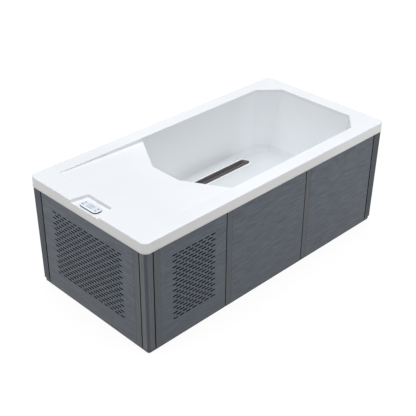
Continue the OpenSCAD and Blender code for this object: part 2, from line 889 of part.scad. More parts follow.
// Dust filters: mats on the inner faces of the vented panels
mat_t = 3;
mat_margin = 6;
function mat_half(slots) = ((slots - 1) * slot_pitch + slot_l) / 2 + mat_margin;
module vent_filters() {
    z0 = vent_top - (vent_rows - 1) * row_pitch - slot_h / 2 - mat_margin;
    z1 = vent_top + slot_h / 2 + mat_margin;
    side_mid = panel_x0 + (side_a + margin_w) / 2;
    color(BLACK) {
        span([-frame_x, margin_w / 2 - mat_half(slots_in(end_w)), z0],
             [-frame_x + mat_t, margin_w / 2 + mat_half(slots_in(end_w)), z1]);
        for (j = [-1, 1])
            span([side_mid - mat_half(slots_in(side_a)), j > 0 ? frame_y - mat_t : -frame_y, z0],
                 [side_mid + mat_half(slots_in(side_a)), j > 0 ? frame_y : mat_t - frame_y, z1]);
    }
}

// Dark strips that close the open joints from behind
strip_t = 7;
module joint_strips() {
    h = panel_top - tray_t;
    color(BLACK)
    for (j = [-1, 1]) {
        for (x = [joint_ax, joint_bx, panel_x0 - groove_w / 2, -panel_x0 + groove_w / 2])
            translate([x - groove_w / 2, j > 0 ? frame_y : -frame_y - strip_t, tray_t])
                cube([groove_w, strip_t, h]);
        for (i = [-1, 1])
            translate([i > 0 ? frame_x : -frame_x - strip_t,
                       j * (end_w / 2 + groove_w / 2) - groove_w / 2, tray_t])
                cube([strip_t, groove_w, h]);
    }
}

// Seal between the panels' top edges and the rim
module rim_seal() {
    gap = shell_t + rim_bead + seat;
    color(BLACK) {
        for (j = [-1, 1])
            span([-half_l + rim_corner_r, j > 0 ? frame_y : -half_w + gap, panel_top],
                 [half_l - rim_corner_r, j > 0 ? half_w - gap : -frame_y, panel_top + 8]);
        for (i = [-1, 1])
            span([i > 0 ? frame_x : -half_l + gap, -half_w + rim_corner_r, panel_top],
                 [i > 0 ? half_l - gap : -frame_x, half_w - rim_corner_r, panel_top + 8]);
    }
}

// Console: a low rounded cap over a gasket, with a cup through the notch floor
console_x = -half_l + console_inset;
cup_l = console_l - 18;
cup_w = console_w - 16;
cup_depth = 11;
cap_z = notch_z + gasket_t;
cap_top = cap_z + console_h;
console_edge_r = 3;
module console_cup(gap, depth) {
    translate([console_x, console_y, notch_z - depth])
        linear_extrude(depth + gasket_t)
            round_rect(cup_w + 2 * gap, cup_l + 2 * gap, 12);
}
button_places = [for (j = [1, -1], i = [1, -1]) [i * button_pitch / 2, j * (console_l / 2 - button_inset)]];
button_h = 5;
lens_t = 1.4;
module console_body() {
    color([0.86, 0.88, 0.91])
    difference() {
        union() {
            translate([console_x, console_y, cap_z])
                hull() {
                    linear_extrude(console_h - console_edge_r)
                        round_rect(console_w, console_l, console_corner_r);
                    for (a = [30 : 30 : 90])
                        linear_extrude(console_h - console_edge_r * (1 - sin(a)))
                            let (d = 2 * console_edge_r * (1 - cos(a)))
                            round_rect(console_w - d, console_l - d, console_corner_r - d / 2);
                }
            console_cup(0, cup_depth);
        }
        for (p = button_places)
            bar([console_x + p[0], console_y + p[1], cap_top - button_h - button_travel], "z",
                button_h + button_travel + 1, button_d / 2 + seat);
        translate([console_x, console_y, cap_top - lens_t])
            linear_extrude(lens_t + 1)
                round_rect(lens_w + 2 * running_fit, lens_l + 2 * running_fit, 4);
    }
}

module console_gasket() {
    color(BLACK)
    translate([console_x, console_y, notch_z])
        linear_extrude(gasket_t)
            difference() {
                round_rect(console_w - 1, console_l - 1, console_corner_r - 0.5);
                round_rect(cup_w + 2 * seat, cup_l + 2 * seat, 12);
            }
}

module display_lens() {
    color([0.75, 0.78, 0.84])
    translate([console_x, console_y, cap_top - lens_t])
        linear_extrude(lens_t + 0.3)
            round_rect(lens_w, lens_l, 4);
}

// One button: a short round key with a dished top
module button(place) {
    r = button_d / 2;
    color([0.80, 0.83, 0.87])
    translate([console_x + place[0], console_y + place[1], cap_top - button_h])
        rotate_extrude()
            polygon([
                [0, 0], [r, 0], [r, button_h + 0.5], [r - 1, button_h + 1.2],
                [r - 2.5, button_h + 1], [0, button_h + 0.6]
            ]);
}
module button_1() { button(button_places[0]); }
module button_2() { button(button_places[1]); }
module button_3() { button(button_places[2]); }
module button_4() { button(button_places[3]); }

// Condenser: a fin block between side plates, with the tubes' bends beside them
side_plate_t = 3;
module condenser() {
    z0 = plate_top + condenser_foot;
    half = condenser_w / 2;
    tube_r = 5;
    color([0.7, 0.72, 0.74]) {
        span([condenser_x, -half + side_plate_t, z0], [shroud_x, half - side_plate_t, z0 + condenser_h]);
        for (j = [-1, 1]) {
            span([condenser_x, j > 0 ? half - side_plate_t : -half, plate_top],
                 [shroud_x, j > 0 ? half : -half + side_plate_t, z0 + condenser_h]);
            for (z = [z0 + bend_pitch / 2 + (j > 0 ? 0 : bend_pitch) : 2 * bend_pitch
                      : z0 + condenser_h - 1.5 * bend_pitch])
                translate([condenser_x + condenser_t / 2, j * half, z + bend_pitch / 2])
                    rotate([0, 90, 0])
                        rotate([0, 0, j > 0 ? 0 : 180])
                            rotate_extrude(angle = 180)
                                translate([bend_pitch / 2, 0])
                                    circle(r = tube_r, $fn = 16);
        }
    }
}

// Shroud: a plate on the condenser's back with a ring round the blades
module fan_shroud() {
    half = condenser_w / 2;
    z0 = plate_top + condenser_foot;
    color(BLACK)
    difference() {
        union() {
            span([shroud_x, -half, z0], [shroud_x + shroud_t, half, z0 + condenser_h]);
            bar([shroud_x, 0, fan_z], "x", shroud_t + shroud_l, shroud_bore / 2 + 4);
        }
        bar([shroud_x - 1, 0, fan_z], "x", shroud_t + shroud_l + 2, shroud_bore / 2);
    }
}

// Cross-shaped bracket that holds the motor in the middle of the ring
module fan_bracket() {
    reach = shroud_bore / 2 + 4;
    color(STEEL)
    translate([bracket_x, 0, fan_z])
        rotate([0, 90, 0])
            linear_extrude(shroud_t)
                difference() {
                    union() {
                        square([2 * reach, 24], center = true);
                        square([24, 2 * reach], center = true);
                        circle(r = 48);
                    }
                    circle(r = 20);
                }
}

module fan_motor() {
    color(BLACK)
    translate([motor_x, 0, fan_z])
        rotate([0, 90, 0])
            difference() {
                rotate_extrude()
                    polygon([
                        [0, 0], [44, 0], [44, 12], [40, 14], [40, 54], [34, fan_motor_l], [0, fan_motor_l]
                    ]);
                translate([0, 0, -1])
                    cylinder(h = 61, r = fan_shaft_d / 2 + running_fit);
            }
}

module fan_shaft() {
    color(STEEL)
        bar([fan_hub_x + 2, 0, fan_z], "x", motor_x + 58 - fan_hub_x - 2, fan_shaft_d / 2);
}

// Rotor: a domed hub with twisted blades
hub_r = 50;
module fan_rotor() {
    blade_l = shroud_bore / 2 - blade_gap - hub_r + 3;
    color([0.16, 0.16, 0.17])
    translate([fan_hub_x, 0, fan_z])
        rotate([0, 90, 0])
            difference() {
                union() {
                    rotate_extrude()
                        polygon([[0, 0], [hub_r - 8, 0], [hub_r, 6], [hub_r, fan_hub_l], [0, fan_hub_l]]);
                    for (i = [0 : blades - 1])
                        rotate([0, 0, i * 360 / blades])
                            translate([0, 0, 4])
                                linear_extrude(height = fan_hub_l - 6, twist = -34, slices = 6)
                                    translate([hub_r - 3, -2])
                                        square([blade_l, 4]);
                }
                translate([0, 0, 2])
                    cylinder(h = fan_hub_l, r = fan_shaft_d / 2 + running_fit);
            }
}

// Compressor: a domed can on a foot ring, with its terminal cover
module compressor() {
    r = compressor_d / 2;
    color([0.13, 0.13, 0.14])
    translate([compressor_x, compressor_y, compressor_z]) {
        rotate_extrude()
            polygon([
                [0, 0], [r + 14, 0], [r + 14, 4], [r - 12, 4],
                for (a = [-60 : 20 : 0]) [r - 14 + 14 * cos(a), 18 + 14 * sin(a)],
                for (a = [0 : 15 : 90]) [r * cos(a), compressor_h - 34 + 34 * sin(a)]
            ]);
        span([-24, -r - 22, compressor_h * 0.5], [24, -r + 12, compressor_h * 0.75]);
    }
}

mount_r = compressor_d / 2 + 2;
mount_places = [for (a = [90, 210, 330]) [compressor_x, compressor_y] + mount_r * [cos(a), sin(a)]];
module compressor_mounts() {
    color(BLACK)
    for (p = mount_places)
        translate([p[0], p[1], plate_top])
            rotate_extrude()
                polygon([[0, 0], [12, 0], [12, 4], [9, 6], [9, 10], [12, 12], [12, 16], [0, 16]]);
}

// Heat exchanger: a domed upright vessel with a clamp band and a side port
module heat_exchanger() {
    r = exchanger_d / 2;
    color([0.90, 0.91, 0.92])
    difference() {
        union() {
            translate([exchanger_x, 0, plate_top])
                rotate_extrude()
                    polygon([
                        [0, 0], [r - 10, 0], [r, 10], [r, exchanger_h - 78], [r + 6, exchanger_h - 76],
                        [r + 6, exchanger_h - 60], [r, exchanger_h - 58],
                        for (a = [0 : 15 : 75]) [r * cos(a), exchanger_h - 42 + 42 * sin(a)],
                        [pipe_d / 2 + 4, exchanger_h - 2], [pipe_d / 2 + 4, exchanger_h], [0, exchanger_h]
                    ]);
            bar([filter_out_x, exchanger_port_y, link_z], "y", -exchanger_port_y, filter_port_r);
        }
        bar([filter_out_x, exchanger_port_y - 1, link_z], "y", 15, pipe_d / 2 + seat);
    }
}

// A tube that follows points with right-angled bends
function unit(v) = v / norm(v);
module run(points, d, wall, r) {
    n = len(points);
    for (i = [0 : n - 2]) {
        u = unit(points[i + 1] - points[i]);
        a = points[i] + (i > 0 ? r * u : [0, 0, 0]);
        b = points[i + 1] - (i < n - 2 ? r * u : [0, 0, 0]);
        axis = abs(u[0]) > 0.5 ? 0 : abs(u[1]) > 0.5 ? 1 : 2;
        low = u[axis] > 0 ? a : b;
        difference() {
            bar(low, ["x", "y", "z"][axis], norm(b - a), d / 2);
            if (wall > 0)
                bar(low, ["x", "y", "z"][axis], norm(b - a), d / 2 - wall);
        }
    }
    for (i = [1 : 1 : n - 2]) {
        u = unit(points[i] - points[i - 1]);
        v = unit(points[i + 1] - points[i]);
        w = cross(-v, u);
        c = points[i] + r * (v - u);
        multmatrix([
            [-v[0], u[0], w[0], c[0]],
            [-v[1], u[1], w[1], c[1]],
            [-v[2], u[2], w[2], c[2]],
            [0, 0, 0, 1]
        ])
            rotate_extrude(angle = 90)
                translate([r, 0])
                    difference() {
                        circle(d = d);
                        if (wall > 0)
                            circle(d = d - 2 * wall);
                    }
    }
}

// Copper lines: hot gas, liquid through the drier, and suction gas
line_y = condenser_w / 2 + 40;
hot_gas_z = plate_top + condenser_foot + condenser_h - 20;
line_x = condenser_x + condenser_t / 2;
line_bend_r = 24;
liquid_x = exchanger_x - exchanger_d / 2 - 40;
drier_l = 60;
drier_x = line_x + 40;
suction_line_x = exchanger_x - 45;
suction_line_z = exchanger_line_z + 60;
module refrigerant_lines() {
    half = condenser_w / 2;
    color(COPPER) {
        run([[compressor_x, compressor_y, compressor_z + compressor_h + seat],
             [compressor_x, compressor_y, hot_gas_z],
             [line_x, compressor_y, hot_gas_z],
             [line_x, -half - seat, hot_gas_z]], copper_d, 0, line_bend_r);
        run([[line_x, half + seat, exchanger_line_z], [line_x, line_y, exchanger_line_z],
             [drier_x, line_y, exchanger_line_z]], copper_d, 0, line_bend_r);
        run([[drier_x + drier_l, line_y, exchanger_line_z], [liquid_x, line_y, exchanger_line_z],
             [liquid_x, 0, exchanger_line_z],
             [exchanger_x - exchanger_d / 2 - seat, 0, exchanger_line_z]], copper_d, 0, line_bend_r);
        difference() {
            bar([suction_line_x, compressor_y, suction_line_z], "y", -compressor_y, copper_d / 2);
            bar([compressor_x, compressor_y, suction_line_z - 20], "z", 40, compressor_d / 2 + seat);
            bar([exchanger_x, 0, suction_line_z - 20], "z", 40, exchanger_d / 2 + seat);
        }
    }
}

module filter_drier() {
    color(COPPER)
    translate([drier_x, line_y, exchanger_line_z])
        rotate([0, 90, 0])
            rotate_extrude()
                polygon([[0, 0], [8, 0], [20, 12], [20, drier_l - 12], [8, drier_l], [0, drier_l]]);
}

// Pump: volute with two ports, finned motor, terminal box and foot
module circulation_pump() {
    motor_r = 54;
    motor_x0 = volute_x - volute_l / 2 - motor_l;
    color([0.15, 0.16, 0.18])
    difference() {
        union() {
            bar([volute_x - volute_l / 2, suction_y, suction_z], "x", volute_l, volute_r);
            bar([volute_x, suction_y, suction_z], "x", volute_l / 2 + 20, port_r);
            bar([volute_x, suction_y, suction_z], "z", volute_r + 20, port_r);
            translate([motor_x0, suction_y, suction_z])
                rotate([0, 90, 0]) {
                    cylinder(h = motor_l, r = motor_r - 4);
                    cylinder(h = 28, r = motor_r);
                    for (a = [0 : 15 : 345])
                        rotate([0, 0, a])
                            translate([motor_r - 6, -1.5, 27])
                                cube([6, 3, motor_l - 40]);
                }
            span([motor_x0 + 50, suction_y - 34, suction_z + motor_r - 12],
                 [motor_x0 + 120, suction_y + 34, suction_z + motor_r + 24]);
            span([motor_x0 + 40, suction_y - 44, plate_top],
                 [motor_x0 + 130, suction_y + 44, suction_z - motor_r + 22]);
        }
        bar([volute_x + volute_l / 2 + 2, suction_y, suction_z], "x", 30, pipe_d / 2 + running_fit);
        bar([volute_x, suction_y, suction_z + volute_r + 2], "z", 30, pipe_d / 2 + running_fit);
    }
}

// Filter housing: an open canister with a collar and two side ports
filter_wall = 5;
collar_h = 8;
port_l = 18;
filter_out_x = filter_x - 45;
filter_port_r = 19;
module filter_housing() {
    r = filter_d / 2;
    out_y = chord(r, filter_x - filter_out_x);
    color(BLACK)
    difference() {
        union() {
            translate([filter_x, filter_y, plate_top]) {
                cylinder(h = filter_h, r = r);
                translate([0, 0, filter_h - collar_h])
                    cylinder(h = collar_h, r = r + 7);
            }
            bar([filter_x, filter_y, link_z], "y", r + port_l, filter_port_r);
            bar([filter_out_x, filter_y, link_z], "y", out_y + port_l, filter_port_r);
        }
        translate([filter_x, filter_y, plate_top + filter_wall])
            cylinder(h = filter_h, r = r - filter_wall);
        bar([filter_x, filter_y + r + 2, link_z], "y", port_l, pipe_d / 2 + running_fit);
        bar([filter_x, filter_y, link_z], "y", r + port_l, pipe_d / 2 - pipe_wall);
        bar([filter_out_x, filter_y + out_y + 4, link_z], "y", port_l, pipe_d / 2 + running_fit);
        bar([filter_out_x, filter_y, link_z], "y", out_y + port_l, pipe_d / 2 - pipe_wall);
    }
}

// Pleated cartridge on the housing's floor
pleats = 36;
module filter_cartridge() {
    color(WHITE)
    translate([filter_x, filter_y, plate_top + filter_wall + seat])
        linear_extrude(link_h - port_r - filter_wall - 8)
            difference() {
                polygon([for (i = [0 : 2 * pleats - 1])
                    let (a = i * 180 / pleats, r = filter_d / 2 - filter_wall - (i % 2 == 0 ? 8 : 16))
                    [r * cos(a), r * sin(a)]]);
                circle(r = 25);
            }
}

// Lid: a flange on the collar with a low dome
module filter_lid() {
    r = filter_d / 2;
    color([0.18, 0.18, 0.2])
    translate([filter_x, filter_y, filter_top])
        rotate_extrude()
            polygon([
                [0, 0], [r + 7, 0], [r + 7, collar_h], [r - 8, collar_h],
                for (a = [15 : 15 : 75]) [(r - 8) * cos(a), collar_h + 26 * sin(a)],
                [0, collar_h + 26]
            ]);
}

// Lock ring round both flanges, turned by its grips
module filter_lock_ring() {
    r = filter_d / 2 + 7 + 0.5;
    z0 = filter_top - collar_h - 10;
    color([0.25, 0.26, 0.28])
    translate([filter_x, filter_y, z0]) {
        difference() {
            union() {
                cylinder(h = 2 * collar_h + 16, r = r + 6);
                for (a = [0 : 45 : 315])
                    rotate([0, 0, a])
                        translate([r + 4, -8, 2])
                            cube([6, 16, 2 * collar_h + 8]);
            }
            translate([0, 0, -1])
                cylinder(h = 2 * collar_h + 11 + seat, r = r);
            cylinder(h = 2 * collar_h + 17, r = filter_d / 2 - 5);
        }
    }
}

// Electrical box on the bulkhead, open towards its lid
control_z = link_z + pipe_d / 2 + 24;
control_d = 60;
control_w = 240;
control_h = 220;
control_y1 = inner_y - 48;
control_y0 = control_y1 - control_w;
control_t = 4;
lid_edge = 6;
lid_t = 8;
module control_box() {
    color([0.82, 0.83, 0.84])
    difference() {
        span([plate_x1 - control_d, control_y0, control_z], [plate_x1, control_y1, control_z + control_h]);
        span([plate_x1 - control_d - 1, control_y0 + control_t, control_z + control_t],
             [plate_x1 - control_t, control_y1 - control_t, control_z + control_h - control_t]);
    }
}

// Its lid, with a lip that goes into the box
module control_box_lid() {
    x = plate_x1 - control_d;
    color([0.75, 0.76, 0.78]) {
        span([x - lid_t, control_y0 - lid_edge, control_z - lid_edge],
             [x, control_y1 + lid_edge, control_z + control_h + lid_edge]);
        span([x, control_y0 + control_t + seat, control_z + control_t + seat],
             [x + lid_edge, control_y1 - control_t - seat, control_z + control_h - control_t - seat]);
    }
}

// Ozone generator on the bulkhead
ozone_d = 38;
ozone_w = 70;
ozone_h = 160;
ozone_gap = 8;
ozone_top = top_rail_z - 40;
ozone_spout_l = 26;
ozone_spout_r = 8;
module ozone_generator() {
    y0 = ozone_gap - inner_y;
    z0 = ozone_top - ozone_h;
    color([0.82, 0.83, 0.84]) {
        span([plate_x1 - ozone_d, y0, z0], [plate_x1, y0 + ozone_w, ozone_top]);
        bar([plate_x1 - ozone_d / 2, y0 + ozone_w / 2, z0 - ozone_spout_l], "z", ozone_spout_l, ozone_spout_r);
    }
}

// Water pipes: suction run, pump inlet, pump to filter, filter to exchanger, and return
tee_l = 44;
module water_pipes() {
    pump_port_x = volute_x + volute_l / 2 + 2;
    branch_y = frame_y - 90;
    color([0.93, 0.93, 0.93]) {
        run([[suction_x, suction_y, channel_z - 4 - seat], [suction_x, suction_y, suction_z],
             [tee_x + tee_l / 2, suction_y, suction_z]], pipe_d, pipe_wall, bend_r);
        bar([tee_x - tee_l / 2, suction_y, suction_z], "x", tee_l, pipe_d / 2 + 4);
        bar([tee_x, suction_y, suction_z], "y", branch_y - suction_y, pipe_d / 2);
        run([[pump_port_x + seat, suction_y, suction_z], [tee_x - tee_l / 2, suction_y, suction_z]],
            pipe_d, pipe_wall, bend_r);
        run([[volute_x, suction_y, suction_z + volute_r + 2 + seat], [volute_x, suction_y, link_z],
             [volute_x, filter_y + filter_d / 2 + 2 + seat, link_z]], pipe_d, pipe_wall, bend_r);
        run([[filter_out_x, filter_y + chord(filter_d / 2, filter_x - filter_out_x) + 4 + seat, link_z],
             [filter_out_x, exchanger_port_y + 14 - seat, link_z]], pipe_d, pipe_wall, bend_r);
        run([[exchanger_x, 0, exchanger_top + seat], [exchanger_x, 0, return_z],
             [basin_x - shell_t - foam_t - 6 - seat, 0, return_z]], pipe_d, pipe_wall, bend_r);
    }
}

// Drain valve: a ball valve on the tee's branch, its stem upright
valve_y0 = frame_y - 90;
valve_l = 60;
stem_r = 5;
valve_r = 22;
boss_h = 6;
module drain_valve() {
    mid_y = valve_y0 + valve_l / 2;
    color([0.80, 0.68, 0.35])
    difference() {
        union() {
            bar([tee_x, valve_y0 + seat, suction_z], "y", valve_l - seat, 19);
            translate([tee_x, mid_y, suction_z])
                sphere(r = valve_r);
            bar([tee_x, mid_y, suction_z], "z", valve_r + boss_h, 10);
        }
        bar([tee_x, mid_y, suction_z + 8], "z", valve_r + boss_h, stem_r + running_fit);
    }
}

// Lever on the valve's stem, lying along the pipe when the valve is open
module drain_handle() {
    mid_y = valve_y0 + valve_l / 2;
    z = suction_z + valve_r + boss_h + seat;
    color([0.65, 0.12, 0.10]) {
        bar([tee_x, mid_y, suction_z + 9], "z", z - suction_z - 6, stem_r);
        bar([tee_x, mid_y, z], "z", 6, 11);
        span([tee_x - 8, mid_y - 62, z], [tee_x + 8, mid_y, z + 6]);
    }
}

// Threaded outlet through the back panel, with its nut
module drain_outlet() {
    end_y = half_w - 2;
    color([0.80, 0.68, 0.35])
    difference() {
        union() {
            bar([tee_x, valve_y0 + valve_l, suction_z], "y", end_y - valve_y0 - valve_l, outlet_d / 2);
            bar([tee_x, skirt_y, suction_z], "y", 4, 22);
        }
        bar([tee_x, valve_y0 + valve_l + 8, suction_z], "y", end_y, 9);
    }
}

// Cable gland on the back panel, inside nut and all, with its clamping bore
gland_x = -skirt_x + 100;
gland_z = 86;
gland_thread_r = 10;
gland_bore_r = 5;
module cable_gland() {
    color(BLACK)
    difference() {
        union() {
            bar([gland_x, frame_y - 10, gland_z], "y", panel_t + 12, gland_thread_r);
            bar([gland_x, frame_y - 6, gland_z], "y", 6, 15);
            bar([gland_x, skirt_y, gland_z], "y", 6, 15);
            bar([gland_x, skirt_y + 6, gland_z], "y", 10, 11.5);
        }
        bar([gland_x, skirt_y + 4, gland_z], "y", 20, gland_bore_r);
    }
}

tub_shell();
basin_foam();
basin_board();
suction_channel();
floor_grille();
return_nozzle();
base_tray();
base_rails();
frame_uprights();
top_rails();
rim_battens();
basin_bearers();
bulkhead();
deck_beam();
equipment_plate();
plate_bolts();
corner_posts();
end_panel_vented();
end_panel_plain();
front_panel_vented();
front_panel_middle();
front_panel_right();
back_panel_vented();
back_panel_middle();
back_panel_right();
panel_catches();
vent_filters();
joint_strips();
rim_seal();
console_body();
console_gasket();
display_lens();
button_1();
button_2();
button_3();
button_4();
condenser();
fan_shroud();
fan_bracket();
fan_motor();
fan_shaft();
fan_rotor();
compressor();
compressor_mounts();
heat_exchanger();
refrigerant_lines();
filter_drier();
circulation_pump();
filter_housing();
filter_cartridge();
filter_lid();
filter_lock_ring();
control_box();
control_box_lid();
ozone_generator();
water_pipes();
drain_valve();
drain_handle();
drain_outlet();
cable_gland();
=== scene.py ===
"""A cold plunge tub, dressed for its picture.

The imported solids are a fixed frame. Each sub-assembly of the tub is a class
that models its finer pieces over that frame and gives every node its finish.
Lengths are in metres, in the frame of the solids: +X from the console end to
the backrest end, +Y from the near long side to the far one, +Z up.
"""

import logging
import math
from contextlib import contextmanager
from dataclasses import dataclass, field
from enum import Enum
from functools import cached_property
from typing import Callable, ClassVar, Iterator, Sequence

import bmesh
import bpy
from mathutils import Matrix, Vector


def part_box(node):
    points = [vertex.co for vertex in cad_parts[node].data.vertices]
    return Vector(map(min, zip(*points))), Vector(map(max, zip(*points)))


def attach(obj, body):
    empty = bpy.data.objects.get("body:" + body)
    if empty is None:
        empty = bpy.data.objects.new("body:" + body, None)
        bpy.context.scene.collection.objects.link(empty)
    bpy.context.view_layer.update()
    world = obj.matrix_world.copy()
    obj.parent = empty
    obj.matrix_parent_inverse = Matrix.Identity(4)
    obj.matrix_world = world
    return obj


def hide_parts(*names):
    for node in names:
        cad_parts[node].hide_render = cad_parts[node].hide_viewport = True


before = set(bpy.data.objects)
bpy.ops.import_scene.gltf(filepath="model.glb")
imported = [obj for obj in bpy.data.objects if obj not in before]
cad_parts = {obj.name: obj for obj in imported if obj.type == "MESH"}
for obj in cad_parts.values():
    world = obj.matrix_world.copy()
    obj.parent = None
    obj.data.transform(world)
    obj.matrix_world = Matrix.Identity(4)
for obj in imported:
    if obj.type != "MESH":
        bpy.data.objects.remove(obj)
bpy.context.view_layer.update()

LOG = logging.getLogger("cold_plunge_tub")
MM = 0.001
TUB = "tub"
BUTTONS = (1, 2, 3, 4)

Pair = tuple[float, float]
Colour = tuple[float, float, float]
Stop = tuple[float, Colour]
Socket = bpy.types.NodeSocket
Material = bpy.types.Material
Coats = dict[str, str]
Test = Callable[..., bool]
WHITE: Colour = (1.0, 1.0, 1.0)
# The scale at which a wave pattern repeats once a metre.
WAVE_SCALE = 0.314159
# How far a cutter reaches past what it cuts, and a step too thin to be seen.
PAST = 4 * MM
HAIR = 0.01 * MM


class Part(Enum):
    """The kind of element that an edit picks."""

    VERT = "VERT"
    EDGE = "EDGE"
    FACE = "FACE"


class Grain(Enum):
    """Which way the streaks of a finish run; the value is its pattern's stretch."""

    ALONG = (8.0, 15.0, 92.0)
    ACROSS = (15.0, 8.0, 92.0)
    UPRIGHT = (48.0, 48.0, 5.0)


class Kind(Enum):
    """What draws a pattern: its node and the output that is read."""

    NOISE = ("TexNoise", "Fac")
    CELLS = ("TexVoronoi", "Distance")
    BANDS = ("TexWave", "Fac")


@dataclass(frozen=True)
class Pattern:
    """A procedural pattern in object coordinates."""

    scale: float = 1.0
    detail: float = 3.0
    warp: float = 0.0
    stretch: Colour = WHITE
    kind: Kind = Kind.NOISE
    across: str = "X"


class Sheet:
    """The node sheet of one material, with a Principled shader on it."""

    def __init__(self, name: str) -> None:
        """Opens a new sheet.

        Args:
            name: The material's name.
        """
        self.material = bpy.data.materials.new(name)
        self.material.use_nodes = True
        self.nodes = self.material.node_tree.nodes
        self.links = self.material.node_tree.links
        self.shader = self.nodes["Principled BSDF"]
        self.place = self.nodes.new("ShaderNodeTexCoord").outputs["Object"]

    def fill(self, node: bpy.types.Node, inputs: dict[str | int, object]) -> None:
        """Fills a node's inputs.

        Args:
            node: The node.
            inputs: Its inputs by name or number. A socket is linked, and
                anything else is set as a constant.
        """
        for key, value in inputs.items():
            socket = node.inputs[key]
            if isinstance(value, Socket):
                self.links.new(value, socket)
            else:
                socket.default_value = value

    def add(self, kind: str, inputs: dict[str | int, object], **settings: object) -> bpy.types.Node:
        """Adds a node.

        Args:
            kind: Its type, without ShaderNode.
            inputs: Its inputs by name or number.
            settings: Its settings, such as an operation.

        Returns:
            The node.
        """
        node = self.nodes.new(f"ShaderNode{kind}")
        for key, value in settings.items():
            setattr(node, key, value)
        self.fill(node, inputs)
        return node

    def feed(self, **inputs: object) -> None:
        """Fills the shader's own inputs, named with underscores for spaces."""
        self.fill(self.shader, {key.replace("_", " "): value for key, value in inputs.items()})

    def lay(self, pattern: Pattern) -> Socket:
        """Draws a pattern.

        Args:
            pattern: What is drawn.

        Returns:
            Its value, from 0 to 1.
        """
        where = self.add("Mapping", {"Vector": self.place, "Scale": pattern.stretch}).outputs["Vector"]
        kind, output = pattern.kind.value
        node = self.add(kind, {"Vector": where, "Scale": pattern.scale})
        if pattern.kind is not Kind.CELLS:
            self.fill(node, {"Detail": pattern.detail, "Distortion": pattern.warp})
        if pattern.kind is Kind.BANDS:
            node.bands_direction = pattern.across
        return node.outputs[output]

    def ramp(self, value: Socket, *stops: Stop) -> Socket:
        """Turns a pattern into colours.

        Args:
            value: The pattern.
            stops: Positions and their colours, from the lowest up.

        Returns:
            The colour.
        """
        node = self.add("ValToRGB", {"Fac": value})
        band = node.color_ramp
        while len(band.elements) < len(stops):
            band.elements.new(0.5)
        for element, (position, colour) in zip(band.elements, stops):
            element.position = position
            element.color = (*colour, 1.0)
        return node.outputs["Color"]

    def span(self, value: Socket, low: float, high: float) -> Socket:
        """Maps a quarter and three quarters of a pattern to two values."""
        ends = {"From Min": 0.25, "From Max": 0.75, "To Min": low, "To Max": high}
        return self.add("MapRange", {"Value": value, **ends}).outputs["Result"]

    def rise(self, value: Socket, low: float, high: float) -> Socket:
        """Maps a value to 0 at its low limit and 1 at its high one."""
        return self.add("MapRange", {"Value": value, "From Min": low, "From Max": high}).outputs["Result"]

    def level(self, low: float, high: float, along: str = "Z") -> Socket:
        """Rises from 0 to 1 between two places on an axis, in metres."""
        return self.rise(self.add("SeparateXYZ", {"Vector": self.place}).outputs[along], low, high)

    def times(self, first: Socket, second: Socket) -> Socket:
        """The product of two patterns."""
        return self.add("Math", {0: first, 1: second}, operation="MULTIPLY").outputs["Value"]

    def blend(self, share: float, first: Socket, second: Socket) -> Socket:
        """Mixes two patterns by the second one's share."""
        return self.add("Mix", {0: share, 2: first, 3: second}).outputs[0]

    def shade(self, colour: Socket, value: Socket, *stops: Stop) -> Socket:
        """Multiplies a colour by a pattern's colours, white where nothing changes."""
        inputs = {0: 1.0, 6: colour, 7: self.ramp(value, *stops)}
        return self.add("Mix", inputs, data_type="RGBA", blend_type="MULTIPLY").outputs[2]

    def raised(self, height: Socket, depth: float, strength: float) -> Material:
        """Raises a pattern on the surface, to a depth in metres.

        Args:
            height: The pattern.
            depth: Its depth.
            strength: How strongly it shows.

        Returns:
            The finished material.
        """
        bump = self.add("Bump", {"Height": height, "Distance": depth, "Strength": strength})
        self.feed(Normal=bump.outputs["Normal"])
        return self.material


def tinted(colour: Colour, factor: float) -> Colour:
    """A colour made lighter or darker by a factor, held within 0 and 1."""
    red, green, blue = (min(1.0, channel * factor) for channel in colour)
    return (red, green, blue)


@dataclass(frozen=True)
class PaintedLightZone:
    """A part of the shell with painted light or shade: a tone laid over the shell's colour, between limits in
    millimetres.
    """

    tone: Colour
    limits: tuple[tuple[float, float, str], ...]

    def laid(self, sheet: Sheet, colour: Socket) -> Socket:
        """Lays the painted light or shade over the shell's colour.

        Args:
            sheet: The material being built.
            colour: The colour so far.

        Returns:
            The colour with this zone in it.
        """
        mask = None
        for low, high, along in self.limits:
            level = sheet.level(low * MM, high * MM, along)
            mask = level if mask is None else sheet.times(mask, level)
        return sheet.shade(colour, mask, (0.0, WHITE), (1.0, self.tone))


